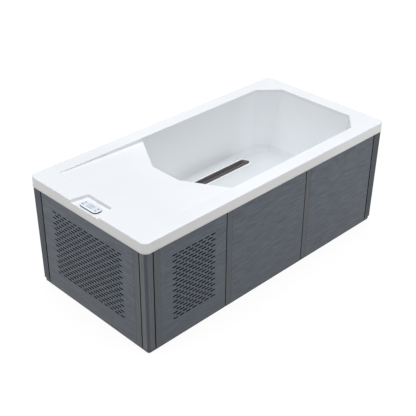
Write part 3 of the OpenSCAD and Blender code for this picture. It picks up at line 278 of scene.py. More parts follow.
@dataclass(frozen=True)
class Acrylic:
    """Vacuum-formed acrylic: glossy, nearly white, with a slow ripple, painted shade on the rim's outer face and
    zones of painted light and shade.
    """

    name: str = "acrylic_white"
    colour: Colour = (0.904, 0.911, 0.922)
    cloud: Pattern = Pattern(3.0, 3.0, 0.4)
    peel: Pattern = Pattern(9.0, 2.0, 0.2)
    # Painted shade: the rim's outer face, from its lower edge up, is darker than the top; the fields below find
    # that face.
    flange: Colour = (0.715, 0.70, 0.68)
    lip: Pair = (655.5 * MM, 656.5 * MM)
    reach: Pair = (1.0, 0.49)
    corner: float = 38 * MM
    fade: Pair = (34.0 * MM, 36.8 * MM)
    roughness: Pair = (0.19, 0.26)
    ripple: Pair = (1.1 * MM, 0.35)
    # Painted light and shade on the shell, each a tone over one part of it.
    painted_light_zones: tuple[PaintedLightZone, ...] = (
        # Painted shade: darker on the basin floor, fading out up the foot of its walls.
        PaintedLightZone((0.745, 0.762, 0.758), ((322, 276, "Z"),)),
        # Painted light: lighter at the basin's backrest end, below the rim.
        PaintedLightZone((1.06, 1.06, 1.06), ((590, 720, "X"), (705, 690, "Z"), (-480, -474, "Y"))),
        # Painted shade: darker on the deck and rim at the console end.
        PaintedLightZone((0.94, 0.937, 0.938), ((-250, -650, "X"), (600, 640, "Z"))),
        # Painted light: lighter on the rim's near outer face towards the backrest end.
        PaintedLightZone((1.09, 1.095, 1.10), ((400, 640, "X"), (-474, -480, "Y"), (719, 715, "Z"))),
        # Painted shade: darker in the notch for the console.
        PaintedLightZone((0.965, 0.967, 0.965), ((-886, -890, "X"), (719.6, 718.0, "Z"), (-998, -995, "X"))),
    )

    def outer(self, sheet: Sheet) -> Socket:
        """Finds the rim's outer face, which is a round-cornered rectangle from above.

        Args:
            sheet: The material being built.

        Returns:
            0 inside, rising to 1 on the outer face.
        """
        where = sheet.place
        corner = (self.reach[0] - self.corner, self.reach[1] - self.corner, 100.0)
        steps = (("ABSOLUTE", None), ("SUBTRACT", corner), ("MAXIMUM", (0.0, 0.0, 0.0)), ("LENGTH", None))
        for operation, value in steps:
            inputs = {0: where} if value is None else {0: where, 1: value}
            step = sheet.add("VectorMath", inputs, operation=operation)
            where = step.outputs[0]
        return sheet.rise(step.outputs["Value"], *self.fade)

    def make(self) -> Material:
        """Builds the material.

        Returns:
            The finished material.
        """
        sheet = Sheet(self.name)
        cloud = sheet.lay(self.cloud)
        tone = sheet.ramp(cloud, (0.3, tinted(self.colour, 0.985)), (0.7, tinted(self.colour, 1.01)))
        # Painted shade: the rim's outer face is darkened.
        side = sheet.times(self.outer(sheet), sheet.level(*self.lip))
        tone = sheet.shade(tone, side, (0.0, WHITE), (1.0, self.flange))
        for zone in self.painted_light_zones:
            tone = zone.laid(sheet, tone)
        sheet.feed(Base_Color=tone, Roughness=sheet.span(cloud, *self.roughness))
        sheet.feed(Coat_Weight=0.3, Coat_Roughness=0.06, Specular_IOR_Level=0.4)
        return sheet.raised(sheet.lay(self.peel), *self.ripple)


@dataclass(frozen=True)
class SlateBoard:
    """Slate-grey skirt board with fine brushed ripples along its grain, and painted shade darkening it towards the
    foot.
    """

    name: str
    grain: Grain
    colour: Colour = (0.054, 0.070, 0.095)
    contrast: float = 0.36
    fineness: float = 3.6
    # Painted shade: below this height the board darkens towards the foot colour.
    fade_top: float = 0.62
    foot: Colour = (0.76, 0.755, 0.745)
    fine_share: float = 0.38
    roughness: Pair = (0.44, 0.33)
    ripple: Pair = (1.2 * MM, 0.6)

    def make(self) -> Material:
        """Builds the material.

        Returns:
            The finished material.
        """
        sheet = Sheet(self.name)
        fine = tuple(self.fineness * part for part in self.grain.value)
        ripple = sheet.lay(Pattern(1.0, 5.0, 0.12, self.grain.value))
        streak = sheet.blend(self.fine_share, ripple, sheet.lay(Pattern(1.0, 6.0, 0.1, fine)))
        dark, light = (tinted(self.colour, 1 + way * self.contrast) for way in (-1, 1))
        tone = sheet.ramp(streak, (0.38, dark), (0.5, self.colour), (0.62, light))
        # Painted shade: darker towards the foot.
        tone = sheet.shade(tone, sheet.level(0.0, self.fade_top), (0.0, self.foot), (1.0, WHITE))
        sheet.feed(Base_Color=tone, Roughness=sheet.span(streak, *self.roughness), Specular_IOR_Level=0.5)
        return sheet.raised(streak, *self.ripple)


@dataclass(frozen=True)
class Surface:
    """A finish with a pattern that tints it and sets its gloss, and a relief."""

    name: str
    colour: Colour
    roughness: float = 0.5
    depth: float = 0.0001
    coat: float = 0.0
    gloss: float = 0.5
    metallic: float = 0.0
    coat_roughness: float = 0.12
    tint: Pattern = Pattern(14.0, 4.0, 0.6)
    tints: tuple[Pair, ...] = ((0.3, 0.93), (0.7, 1.05))
    spread: Pair = (-0.05, 0.06)
    relief: Pattern = Pattern(900.0, 3.0)
    strength: float = 0.5
    gloss_share: float = 0.0
    relief_share: float = 1.0

    def make(self) -> Material:
        """Builds the material.

        Returns:
            The finished material.
        """
        sheet = Sheet(self.name)
        tint, relief = sheet.lay(self.tint), sheet.lay(self.relief)
        tone = sheet.ramp(tint, *((place, tinted(self.colour, factor)) for place, factor in self.tints))
        rough = sheet.blend(self.gloss_share, tint, relief)
        low, high = (self.roughness + step for step in self.spread)
        sheet.feed(Base_Color=tone, Roughness=sheet.span(rough, low, high), Metallic=self.metallic)
        sheet.feed(Coat_Weight=self.coat, Coat_Roughness=self.coat_roughness, Specular_IOR_Level=self.gloss)
        return sheet.raised(sheet.blend(self.relief_share, tint, relief), self.depth, self.strength)


@dataclass(frozen=True)
class Moulded(Surface):
    """Injection-moulded or cast plastic with a fine spark grain."""

    roughness: float = 0.45
    depth: float = 0.00012
    strength: float = 0.6


@dataclass(frozen=True)
class Metal(Surface):
    """Drawn or brushed metal with streaks along one axis and light tarnish."""

    metallic: float = 1.0
    tint: Pattern = Pattern(11.0, 6.0, 1.1)
    tints: tuple[Pair, ...] = ((0.32, 0.8), (0.62, 1.0))
    spread: Pair = (-0.08, 0.12)
    relief: Pattern = Pattern(1.0, 5.0, 0.0, (72.0, 135.0, 828.0))
    gloss_share: float = 0.5


@dataclass(frozen=True)
class Painted(Surface):
    """Enamel on metal, with a faint orange peel."""

    roughness: float = 0.3
    depth: float = 0.00015
    coat: float = 0.3
    coat_roughness: float = 0.1
    tint: Pattern = Pattern(16.0, 5.0, 0.7)
    tints: tuple[Pair, ...] = ((0.3, 0.9), (0.72, 1.12))
    spread: Pair = (-0.06, 0.12)
    relief: Pattern = Pattern(260.0, 2.0)


@dataclass(frozen=True)
class Timber(Surface):
    """Planed softwood or birch ply with long growth lines."""

    roughness: float = 0.635
    depth: float = 0.0004
    tint: Pattern = Pattern(1.0, 6.0, 1.4, (2.0, 46.0, 46.0))
    tints: tuple[Pair, ...] = ((0.3, 0.72), (0.5, 1.0), (0.68, 1.2))
    spread: Pair = (-0.085, 0.085)
    relief: Pattern = Pattern(1.0, 3.0, 0.0, (12.0, 380.0, 380.0))
    relief_share: float = 0.5


@dataclass(frozen=True)
class Banded:
    """A surface of close parallel bands: coil fins, pleats or ribs."""

    name: str
    light: Colour
    dark: Colour
    pitch: float
    across: str
    metallic: float = 0.0
    roughness: float = 0.5
    depth: float = 0.0006

    def make(self) -> Material:
        """Builds the material.

        Returns:
            The finished material.
        """
        sheet = Sheet(self.name)
        band = sheet.lay(Pattern(WAVE_SCALE / self.pitch, 1.0, 0.05, kind=Kind.BANDS, across=self.across))
        dust = sheet.lay(Pattern(9.0, 5.0, 0.8))
        tone = sheet.ramp(band, (0.2, self.dark), (0.75, self.light))
        tone = sheet.shade(tone, dust, (0.3, tinted(WHITE, 0.82)), (0.7, WHITE))
        rough = sheet.span(dust, self.roughness - 0.07, self.roughness + 0.12)
        sheet.feed(Base_Color=tone, Roughness=rough, Metallic=self.metallic)
        return sheet.raised(band, self.depth, 0.8)


@dataclass(frozen=True)
class DisplayGlass:
    """The pale window of the display: glossy, faintly blue, softly uneven."""

    name: str = "display_glass"
    colour: Colour = (0.76, 0.82, 0.92)
    dots: float = 0.7 * MM

    def make(self) -> Material:
        """Builds the material.

        Returns:
            The finished material.
        """
        sheet = Sheet(self.name)
        haze = sheet.lay(Pattern(38.0, 3.0, 0.5))
        dots = sheet.lay(Pattern(WAVE_SCALE / self.dots, 1.0, kind=Kind.BANDS, across="Y"))
        tone = sheet.ramp(haze, (0.3, tinted(self.colour, 0.94)), (0.7, tinted(self.colour, 1.06)))
        tone = sheet.shade(tone, dots, (0.2, (0.96, 0.96, 0.97)), (0.8, WHITE))
        sheet.feed(Base_Color=tone, Roughness=sheet.span(haze, 0.07, 0.12))
        sheet.feed(Coat_Weight=1.0, Coat_Roughness=0.03)
        return sheet.material


Finish = Acrylic | SlateBoard | Surface | Banded | DisplayGlass


class Palette:
    """Every finish of the tub, each built once when it is first asked for."""

    TARNISHED: ClassVar[tuple[Pair, ...]] = ((0.32, 0.62), (0.62, 1.0))
    UPRIGHT: ClassVar[Pattern] = Pattern(1.0, 5.0, 0.0, (432.0, 432.0, 45.0))
    FINISHES: ClassVar[tuple[Finish, ...]] = (
        Acrylic(),
        SlateBoard("slate_along", Grain.ALONG),
        # Painted shade: a darker copy of the slate for the end boards.
        SlateBoard("slate_across", Grain.ACROSS, (0.049, 0.064, 0.088)),
        SlateBoard("slate_margin", Grain.UPRIGHT, (0.053, 0.060, 0.072), contrast=0.10),
        # Painted shade: a darker copy of the slate for the corner posts.
        SlateBoard("slate_upright", Grain.UPRIGHT, (0.036, 0.046, 0.063), contrast=0.16),
        # Painted shade: near-black for the slots' walls, where shade falls; also the joints' walls and hidden
        # sides.
        Moulded("board_core", (0.006, 0.0065, 0.008), 0.9, gloss=0.05),
        Moulded("tray_plastic", (0.055, 0.048, 0.050), 0.6),
        Moulded("grille_plastic", (0.085, 0.074, 0.072), 0.5),
        Moulded("trim_white", (0.955, 0.955, 0.955), 0.3),
        Moulded("pipe_white", (0.78, 0.79, 0.79), 0.35),
        Moulded("vessel_white", (0.70, 0.72, 0.74), 0.4),
        Moulded("housing_black", (0.022, 0.023, 0.026), 0.42),
        Moulded("fan_black", (0.018, 0.018, 0.020), 0.5),
        Moulded("board_grey", (0.52, 0.52, 0.51), 0.5, 0.0002),
        Moulded("console_silver", (0.88, 0.90, 0.93), 0.28, 0.00003, 0.6),
        Moulded("console_field", (0.74, 0.77, 0.84), 0.35, 0.00003, 0.3),
        Moulded("console_dark", (0.02, 0.022, 0.026), 0.5, gloss=0.2),
        Moulded("button_grey", (0.40, 0.43, 0.49), 0.4, 0.00003),
        Moulded("print_dark", (0.12, 0.14, 0.17), 0.5, 0.00002),
        DisplayGlass(),
        Metal("fastener_steel", (0.60, 0.61, 0.62), 0.28, relief=UPRIGHT),
        Metal("shaft_steel", (0.62, 0.63, 0.65), 0.22),
        Metal("copper_line", (0.72, 0.40, 0.27), 0.3, tints=TARNISHED),
        Metal("brass_body", (0.66, 0.50, 0.22), 0.32, tints=((0.32, 0.7), (0.62, 1.0)), relief=UPRIGHT),
        Painted("compressor_enamel", (0.015, 0.015, 0.017)),
        Painted("lever_enamel", (0.46, 0.03, 0.025)),
        Timber("batten_timber", (0.50, 0.35, 0.19)),
        Timber("birch_ply", (0.58, 0.44, 0.27)),
        Banded("coil_fins", (0.60, 0.62, 0.64), (0.20, 0.21, 0.22), 0.0026, "Y", 0.85, 0.38),
        Banded("filter_pleats", (0.80, 0.81, 0.80), (0.46, 0.47, 0.46), 0.0045, "X", 0.0, 0.85, 0.0012),
        Surface(
            "seal_rubber", (0.018, 0.018, 0.022), 0.72, 0.00008, gloss=0.15, spread=(-0.06, 0.08),
            tint=Pattern(22.0, 6.0, 0.8), tints=((0.35, 1.0), (0.75, 1.9)), relief=Pattern(1400.0, kind=Kind.CELLS),
        ),
        Surface(
            "galvanised_tube", (0.52, 0.54, 0.56), 0.47, metallic=0.9, spread=(-0.11, 0.11), gloss_share=0.5,
            tint=Pattern(95.0, kind=Kind.CELLS), tints=((0.1, 0.82), (0.6, 1.12)),
            relief=Pattern(30.0, 5.0), strength=0.4,
        ),
        Surface(
            "spray_foam", (0.74, 0.66, 0.42), 0.9, 0.004, spread=(0.0, 0.0), relief_share=0.4,
            tint=Pattern(26.0, 4.0, 0.5), tints=((0.3, 0.8), (0.7, 1.1)),
            relief=Pattern(420.0, kind=Kind.CELLS), strength=0.7,
        ),
        # A real filter mat behind the vents; its near-black is also painted shade, so the slots read dark.
        Surface(
            "filter_mat_shade_black", (0.012, 0.012, 0.014), 0.95, 0.0012, gloss=0.1, spread=(0.0, 0.0),
            tint=Pattern(520.0, kind=Kind.CELLS), tints=((0.1, 0.5), (0.6, 1.8)),
            relief=Pattern(520.0, kind=Kind.CELLS), strength=0.9,
        ),
    )

    def __init__(self) -> None:
        """Lists the finishes by name."""
        self.recipes = {finish.name: finish for finish in self.FINISHES}
        self.made: dict[str, Material] = {}

    def material(self, name: str) -> Material:
        """A finish's material, built when it is first asked for.

        Args:
            name: The finish's name.

        Returns:
            The material.
        """
        if name not in self.made:
            self.made[name] = self.recipes[name].make()
        return self.made[name]

    def coat_nodes(self, finish: str, nodes: str) -> None:
        """Gives CAD nodes a finish, in every material slot they have.

        Args:
            finish: The finish's name.
            nodes: The nodes' names, with spaces between.
        """
        for node in nodes.split():
            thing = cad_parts[node]
            if not thing.data.materials:
                thing.data.materials.append(self.material(finish))
            for place in range(len(thing.data.materials)):
                thing.data.materials[place] = self.material(finish)


def free_the_bench() -> None:
    """Leaves edit mode and deselects everything."""
    if bpy.context.object and bpy.context.object.mode != "OBJECT":
        bpy.ops.object.mode_set(mode="OBJECT")
    bpy.ops.object.select_all(action="DESELECT")


class Piece:
    """One mesh on the bench, shaped with Blender's own tools."""

    def __init__(self, thing: bpy.types.Object, name: str) -> None:
        """Takes an object over.

        Args:
            thing: The object.
            name: Its new name.
        """
        self.thing = thing
        thing.name = name
        thing.data.name = name

    @classmethod
    def from_node(cls, node: str, name: str) -> "Piece":
        """A merged copy of a CAD node, ready to be refined.

        Args:
            node: The node's name.
            name: The piece's name.

        Returns:
            The piece, with its loose triangles merged into clean faces.
        """
        thing = bpy.data.objects.new(name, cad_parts[node].data.copy())
        bpy.context.scene.collection.objects.link(thing)
        piece = cls(thing, name)
        with piece.editing(Part.VERT, "SELECT"):
            bpy.ops.mesh.customdata_custom_splitnormals_clear()
            bpy.ops.mesh.remove_doubles(threshold=0.00001)
            bpy.ops.mesh.dissolve_limited(angle_limit=math.radians(0.4), delimit=set())
        thing.data.materials.clear()
        return piece

    @classmethod
    def block(cls, name: str, low: Sequence[float], high: Sequence[float]) -> "Piece":
        """A box between two corners, as a start.

        Args:
            name: The piece's name.
            low: Its lowest corner.
            high: Its highest corner.

        Returns:
            The piece.
        """
        free_the_bench()
        first, last = Vector(low), Vector(high)
        bpy.ops.mesh.primitive_cube_add(size=1.0, location=(first + last) / 2, scale=last - first)
        return cls(bpy.context.object, name).settle()

    @classmethod
    def turned(cls, name: str, foot: Sequence[float], profile: Sequence[Pair], sides: int) -> "Piece":
        """An upright turned solid, grown from a disc by extruding and scaling its end.

        Args:
            name: The piece's name.
            foot: The middle of its lowest face.
            profile: Pairs of height above the foot and radius.
            sides: How many sides it has.

        Returns:
            The piece.
        """
        free_the_bench()
        low, up = Vector(foot), Vector((0, 0, 1))
        at, radius = profile[0]
        bpy.ops.mesh.primitive_circle_add(vertices=sides, radius=radius, fill_type="NGON", location=low + up * at)
        piece = cls(bpy.context.object, name).settle()
        with piece.editing(Part.FACE, "SELECT"):
            for height, wide in profile[1:]:
                bpy.ops.mesh.extrude_region_move(TRANSFORM_OT_translate={"value": up * (height - at)})
                bpy.ops.transform.resize(value=(wide / radius,) * 3, center_override=low + up * height)
                at, radius = height, wide
        return piece.face_outwards()

    def alone(self) -> None:
        """Selects this piece only and makes it active."""
        free_the_bench()
        self.thing.select_set(True)
        bpy.context.view_layer.objects.active = self.thing

    @contextmanager
    def editing(self, part: Part, action: str = "DESELECT") -> Iterator[None]:
        """Edit mode, left again at the end.

        Args:
            part: The kind of element that is picked.
            action: SELECT to begin with everything selected.

        Yields:
            Nothing.
        """
        self.alone()
        bpy.ops.object.mode_set(mode="EDIT")
        bpy.ops.mesh.select_mode(type=part.value)
        bpy.ops.mesh.select_all(action=action)
        try:
            yield
        finally:
            bpy.ops.object.mode_set(mode="OBJECT")

    def pick(self, part: Part, test: Test) -> int:
        """Selects the elements that pass a test, and no others.

        Args:
            part: The kind of element.
            test: What an element has to pass.

        Returns:
            How many were picked.
        """
        bpy.ops.mesh.select_all(action="DESELECT")
        mesh = bmesh.from_edit_mesh(self.thing.data)
        elements = {Part.VERT: mesh.verts, Part.EDGE: mesh.edges, Part.FACE: mesh.faces}[part]
        count = 0
        for element in elements:
            if test(element):
                element.select_set(True)
                count += 1
        mesh.select_flush_mode()
        bmesh.update_edit_mesh(self.thing.data)
        return count

    def settle(self) -> "Piece":
        """Applies the object's place, so it lies in the mesh."""
        self.alone()
        bpy.ops.object.transform_apply(location=True, rotation=True, scale=True)
        return self

    def face_outwards(self) -> "Piece":
        """Merges doubles and turns every face outwards."""
        with self.editing(Part.FACE, "SELECT"):
            bpy.ops.mesh.remove_doubles(threshold=0.000001)
            bpy.ops.mesh.normals_make_consistent(inside=False)
        return self

    def round_edges(self, width: float, segments: int, test: Test) -> "Piece":
        """Rounds the edges that pass a test.

        Args:
            width: The width of the rounding.
            segments: How many facets it has.
            test: What an edge has to pass.

        Returns:
            This piece.
        """
        with self.editing(Part.EDGE):
            if self.pick(Part.EDGE, test):
                bpy.ops.mesh.bevel(
                    offset=width, offset_type="OFFSET", segments=segments, affect="EDGES", clamp_overlap=True
                )
        return self

    def round_corners(self, width: float, segments: int) -> "Piece":
        """Rounds a block's upright edges to a width, in so many facets."""
        return self.round_edges(
            width, segments, lambda edge: abs(edge.verts[0].co.z - edge.verts[1].co.z) > 0.05 * MM
        )

    def round_top(self, width: float, segments: int) -> "Piece":
        """Rounds the edges of the highest face to a width, in so many facets."""
        top = max(vert.co.z for vert in self.thing.data.vertices) - HAIR
        return self.round_edges(width, segments, lambda edge: min(vert.co.z for vert in edge.verts) > top)

    def modified(self, kind: str, **settings: object) -> "Piece":
        """Adds a modifier and applies it.

        Args:
            kind: The modifier's type.
            settings: Its settings.

        Returns:
            This piece.
        """
        self.alone()
        modifier = self.thing.modifiers.new(kind.lower(), kind)
        for key, value in settings.items():
            setattr(modifier, key, value)
        bpy.ops.object.modifier_apply(modifier=modifier.name)
        return self

    def softened(self, width: float, segments: int, angle: float) -> "Piece":
        """Rounds every edge sharper than an angle in degrees, to a width and in so many facets."""
        limit = {"limit_method": "ANGLE", "angle_limit": math.radians(angle)}
        return self.modified("BEVEL", width=width, segments=segments, use_clamp_overlap=True, **limit)

    def cut_by(self, cutter: "Piece") -> "Piece":
        """Cuts another piece's space out of this one and clears it away.

        Args:
            cutter: The piece that cuts.

        Returns:
            This piece.
        """
        self.modified("BOOLEAN", object=cutter.thing, operation="DIFFERENCE", solver="EXACT")
        bpy.data.objects.remove(cutter.thing, do_unlink=True)
        return self

    def joined(self, *others: "Piece") -> "Piece":
        """Joins other pieces into this one.

        Args:
            others: The pieces that are taken in.

        Returns:
            This piece.
        """
        self.alone()
        for other in others:
            other.thing.select_set(True)
        bpy.ops.object.join()
        return self

    def smooth(self, angle: float) -> "Piece":
        """Shades smoothly up to an angle, with flat faces kept flat.

        Args:
            angle: The angle between faces, in degrees.

        Returns:
            This piece.
        """
        self.alone()
        bpy.ops.object.shade_smooth_by_angle(angle=math.radians(angle))
        return self.modified("WEIGHTED_NORMAL", keep_sharp=True, weight=80)

    def placed(self, body: str, slot: str, material: Material, *replaced: str) -> None:
        """Dresses the piece and hangs it on its body.

        Args:
            body: The CAD body it moves with.
            slot: The record's material slot, which is not used.
            material: Its finish.
            replaced: The CAD nodes it stands for.
        """
        self.thing.data.materials.clear()
        self.thing.data.materials.append(material)
        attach(self.thing, body)
        if replaced:
            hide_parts(*replaced)
        LOG.info("%s: on %s, %d faces", self.thing.name, body, len(self.thing.data.polygons))

    def lined(self, material: Material, test: Test) -> None:
        """Gives the faces that pass a test a finish of their own.

        Args:
            material: The finish.
            test: What a face has to pass.
        """
        self.thing.data.materials.append(material)
        with self.editing(Part.FACE):
            self.pick(Part.FACE, test)
            self.thing.active_material_index = len(self.thing.data.materials) - 1
            bpy.ops.object.material_slot_assign()


@dataclass
class Assembly:
    """A sub-assembly of the tub, dressed from one palette."""

    palette: Palette
    # The finishes of the nodes that keep their solids.
    COATED: ClassVar[Coats] = {}

    def dress(self, piece: Piece, slot: str, finish: str, *replaced: str, body: str = TUB) -> None:
        """Dresses a piece of this sub-assembly in a finish and hangs it on its body."""
        piece.placed(body, slot, self.palette.material(finish), *replaced)

    def model(self) -> None:
        """Models the sub-assembly's finer pieces, where it has any."""

    def build(self) -> None:
        """Models the finer pieces and finishes the nodes that keep their solids."""
        self.model()
        for finish, nodes in self.COATED.items():
            self.palette.coat_nodes(finish, nodes)


@dataclass
class Shell(Assembly):
    """The moulded shell: rim, deck, basin and the notch for the console."""

    COATED: ClassVar[Coats] = {
        "spray_foam": "basin_foam",
        "birch_ply": "basin_board",
        "pipe_white": "suction_channel",
    }
    crease: float = 34.0

    def model(self) -> None:
        """Models the shell's smooth skin."""
        skin = Piece.from_node("tub_shell", "shell_skin").smooth(self.crease)
        self.dress(skin, "shell_white", "acrylic_white", "tub_shell")


@dataclass
class Skirt(Assembly):
    """The slate skirt: six side panels, two end panels and four posts."""

    COATED: ClassVar[Coats] = {
        "seal_rubber": "joint_strips rim_seal",
        "tray_plastic": "base_tray",
        "fastener_steel": "panel_catches",
        # The filter mat behind the vents, near-black as painted shade in the slots.
        "filter_mat_shade_black": "vent_filters",
    }
    edge: float = 2.3 * MM
    long_edge: float = 60 * MM
    crease: float = 40.0
    reach: Pair = (980 * MM, 470 * MM)
    skin: float = 2.5 * MM
    sunk: float = 0.4 * MM
    joint: float = 9 * MM
    corner: float = 15 * MM
    foot_h: float = 24 * MM
    foot_slope: float = 1.5 * MM
    slack: float = 1 * MM
    proud: Pair = (5 * MM, 6 * MM)
    along: tuple[str, ...] = tuple(
        f"{side}_panel_{place}" for side in ("front", "back") for place in ("vented", "middle", "right")
    )
    across: tuple[str, ...] = ("end_panel_vented", "end_panel_plain")

    @cached_property
    def joints(self) -> list[tuple[int, float]]:
        """Where the boards end: the axis that each end is measured along and its place."""
        ends = [(0, corner.x) for node in self.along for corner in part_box(node)]
        return ends + [(1, corner.y) for node in self.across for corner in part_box(node)]

    def is_inner(self, face: bmesh.types.BMFace) -> bool:
        """Whether a face is a slot's wall, a joint's wall or a hidden side.

        Args:
            face: The face.

        Returns:
            True for the faces painted near-black: painted shade on the slots' walls, and the dark of the joints on
            their walls and the hidden sides.
        """
        middle, normal = face.calc_center_median(), face.normal
        if max(abs(part) for part in normal) > 0.99:
            return all(abs(middle[axis]) < self.reach[axis] - self.skin for axis in (0, 1))
        return abs(normal.z) < 0.1 and any(abs(middle[axis] - place) < self.joint for axis, place in self.joints)

    def is_margin(self, face: bmesh.types.BMFace) -> bool:
        """Whether a face is the plain sunk margin beside a joint.

        Args:
            face: The face.

        Returns:
            True for the margins of the boards' outer faces.
        """
        middle = face.calc_center_median()
        return any(
            abs(face.normal[axis]) > 0.99 and self.sunk < self.reach[axis] - abs(middle[axis]) < self.skin
            for axis in (0, 1)
        )

    def corners(self) -> Piece:
        """The corner posts, which bulge a little proud of the boards above their feet.

        Returns:
            The posts, without their finish.
        """
        posts = Piece.from_node("corner_posts", "corner_posts_board")
        for height in (self.foot_h, self.foot_h + self.foot_slope):
            with posts.editing(Part.FACE, "SELECT"):
                bpy.ops.mesh.bisect(plane_co=(0, 0, height), plane_no=(0, 0, 1))
        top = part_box("corner_posts")[1].z - self.slack
        arc = sum(self.reach) - self.corner - self.slack
        lifts = ((self.foot_h + self.slack, self.proud[0]), (top, self.proud[1]))
        for way in ((-1, -1), (-1, 1), (1, -1), (1, 1)):
            for above, step in lifts:
                with posts.editing(Part.VERT):
                    posts.pick(Part.VERT, lambda vert: vert.co.z > above and vert.co.xy.dot(way) > arc)
                    bpy.ops.transform.translate(value=(way[0] * step, way[1] * step, 0))
        return posts

    def board(self, node: str, finish: str) -> None:
        """Models one board of the skirt, with its long edges eased.

        Args:
            node: The CAD node it stands for.
            finish: Its finish.
        """
        board = self.corners() if node == "corner_posts" else Piece.from_node(node, f"{node}_board")
        board.round_edges(
            self.edge, 2, lambda edge: edge.calc_length() > self.long_edge and edge.calc_face_angle(0.0) > 1.0
        )
        board.smooth(self.crease)
        self.dress(board, "skirt_slate", finish, node)
        # Painted shade: the slots' walls, the joints' walls and the hidden sides are finished near-black.
        board.lined(self.palette.material("board_core"), self.is_inner)
        board.lined(self.palette.material("slate_margin"), self.is_margin)

    def model(self) -> None:
        """Models every board."""
        for node in self.along:
            self.board(node, "slate_along")
        for node in self.across:
            self.board(node, "slate_across")
        self.board("corner_posts", "slate_upright")


@dataclass
class Console(Assembly):
    """The control console: base, bezel, sunk field, display and four buttons."""

    COATED: ClassVar[Coats] = {"seal_rubber": "console_gasket"}
    # A digit's strokes: how many halves of its height up they lie, and on which side they stand.
    STROKES = dict(a=(1.0, 0), b=(0.5, 1), c=(-0.5, 1), d=(-1.0, 0), e=(-0.5, -1), f=(0.5, -1), g=(0.0, 0))
    # A button's dished top: millimetres down from its highest ring and in from its side.
    DISH = ((0.7, 0.0), (0.25, 0.25), (0.0, 0.9), (0.05, 1.6), (0.4, 2.6), (0.5, 4.6))
    corner: float = 25 * MM
    edge: float = 2.6 * MM
    base_h: float = 3.6 * MM
    border: float = 4.2 * MM
    sink: float = 0.5 * MM
    slope: float = 0.4 * MM
    play: float = 0.2 * MM
    field_h: Pair = (0.5 * MM, 0.12 * MM)
    gap: float = 0.4 * MM
    well: Pair = (5.9 * MM, 9 * MM)
    hole: Pair = (2 * MM, 4 * MM)
    window_r: float = 4 * MM
    window_bed: float = 0.1 * MM
    pane_edge: float = 0.5 * MM
    frame_in: float = 2.6 * MM
    frame_w: float = 1.5 * MM
    frame_r: float = 2.4 * MM
    frame_lift: float = 1.2 * MM
    frame_cut: float = 3 * MM
    mark_r: Pair = (2.1 * MM, 2.0 * MM)
    mark_h: float = 0.14 * MM
    ring_r: float = 1.3 * MM
    digit_h: float = 13 * MM
    digit_w: float = 7 * MM
    digit_y: Pair = (7.5 * MM, -4.5 * MM)
    stroke: float = 1.5 * MM
    ink: float = 0.12 * MM
    crease: float = 35.0
    low: Vector = field(default_factory=lambda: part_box("console_body")[0])
    high: Vector = field(default_factory=lambda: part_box("console_body")[1])

    def opened(self, plate: Piece, foot: float, height: float, bed: float) -> None:
        """Cuts the buttons' wells and the display's window out of a plate, and smooths it.

        Args:
            plate: The plate.
            foot: Where the wells begin.
            height: How high they are.
            bed: How far below the display the window begins.
        """
        for number in BUTTONS:
            centre, radius = self.button_place(number)
            wide = radius + self.gap
            plate.cut_by(Piece.turned("well", (centre.x, centre.y, foot), ((0, wide), (height, wide)), 32))
        low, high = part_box("display_lens")
        grow = Vector((self.play, self.play, bed))
        window = Piece.block("window", low - grow, high + Vector((self.play, self.play, PAST)))
        plate.cut_by(window.round_corners(self.window_r, 5))
        plate.face_outwards().smooth(self.crease)

    def bezel(self) -> None:
        """Models the rounded bezel and the dark base that it stands on."""
        base = Vector((self.low.x, self.low.y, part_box("console_gasket")[1].z))
        foot_top = base.z + self.base_h
        bezel = Piece.block("console_bezel", (base.x, base.y, foot_top), self.high)
        bezel.round_corners(self.corner, 12).round_top(self.edge, 4)
        top = self.high.z - HAIR
        with bezel.editing(Part.FACE):
            bezel.pick(Part.FACE, lambda face: face.normal.z > 0.99 and face.calc_center_median().z > top)
            bpy.ops.mesh.inset(thickness=self.border, depth=0.0)
            bpy.ops.mesh.inset(thickness=self.slope, depth=-self.sink)
        self.opened(bezel, self.high.z - self.well[0], self.well[1], self.window_bed)
        self.dress(bezel, "console_grey", "console_silver", "console_body")
        # A dark base under the bezel; its near-black is also painted shade, standing in for the shadow under the
        # bezel.
        foot = Piece.block("console_base", base, (self.high.x, self.high.y, foot_top))
        foot.round_corners(self.corner, 12).smooth(self.crease)
        self.dress(foot, "console_grey", "console_dark")

    def sunk_field(self) -> None:
        """Models the pale plate that lies in the bezel's sunk field."""
        margin = self.border + self.slope + self.play
        under, over = self.field_h
        level = self.high.z - self.sink
        plate = Piece.block(
            "console_field",
            (self.low.x + margin, self.low.y + margin, level - under),
            (self.high.x - margin, self.high.y - margin, level + over),
        )
        plate.round_corners(self.corner - margin, 12)
        self.opened(plate, level - self.hole[0], self.hole[1], self.hole[0])
        self.dress(plate, "console_grey", "console_field")

    def button_place(self, number: int) -> tuple[Vector, float]:
        """The middle of a button's top and its radius."""
        low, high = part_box(f"button_{number}")
        return Vector(((low.x + high.x) / 2, (low.y + high.y) / 2, high.z)), (high.x - low.x) / 2

    def button(self, number: int) -> None:
        """Models one dished button with its printed mark.

        Args:
            number: The button's number, from 1 to 4.
        """
        node = f"button_{number}"
        top, radius = self.button_place(number)
        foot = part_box(node)[0].z
        profile = [(top.z - foot - down * MM, radius - inward * MM) for down, inward in self.DISH]
        cap = Piece.turned(f"button_cap_{number}", (top.x, top.y, foot), [(0.0, radius), *profile], 40)
        cap.smooth(32.0)
        self.dress(cap, "button_grey", "button_grey", node, body=node)
        self.mark(number, Vector((top.x, top.y, top.z - self.DISH[-1][0] * MM)))

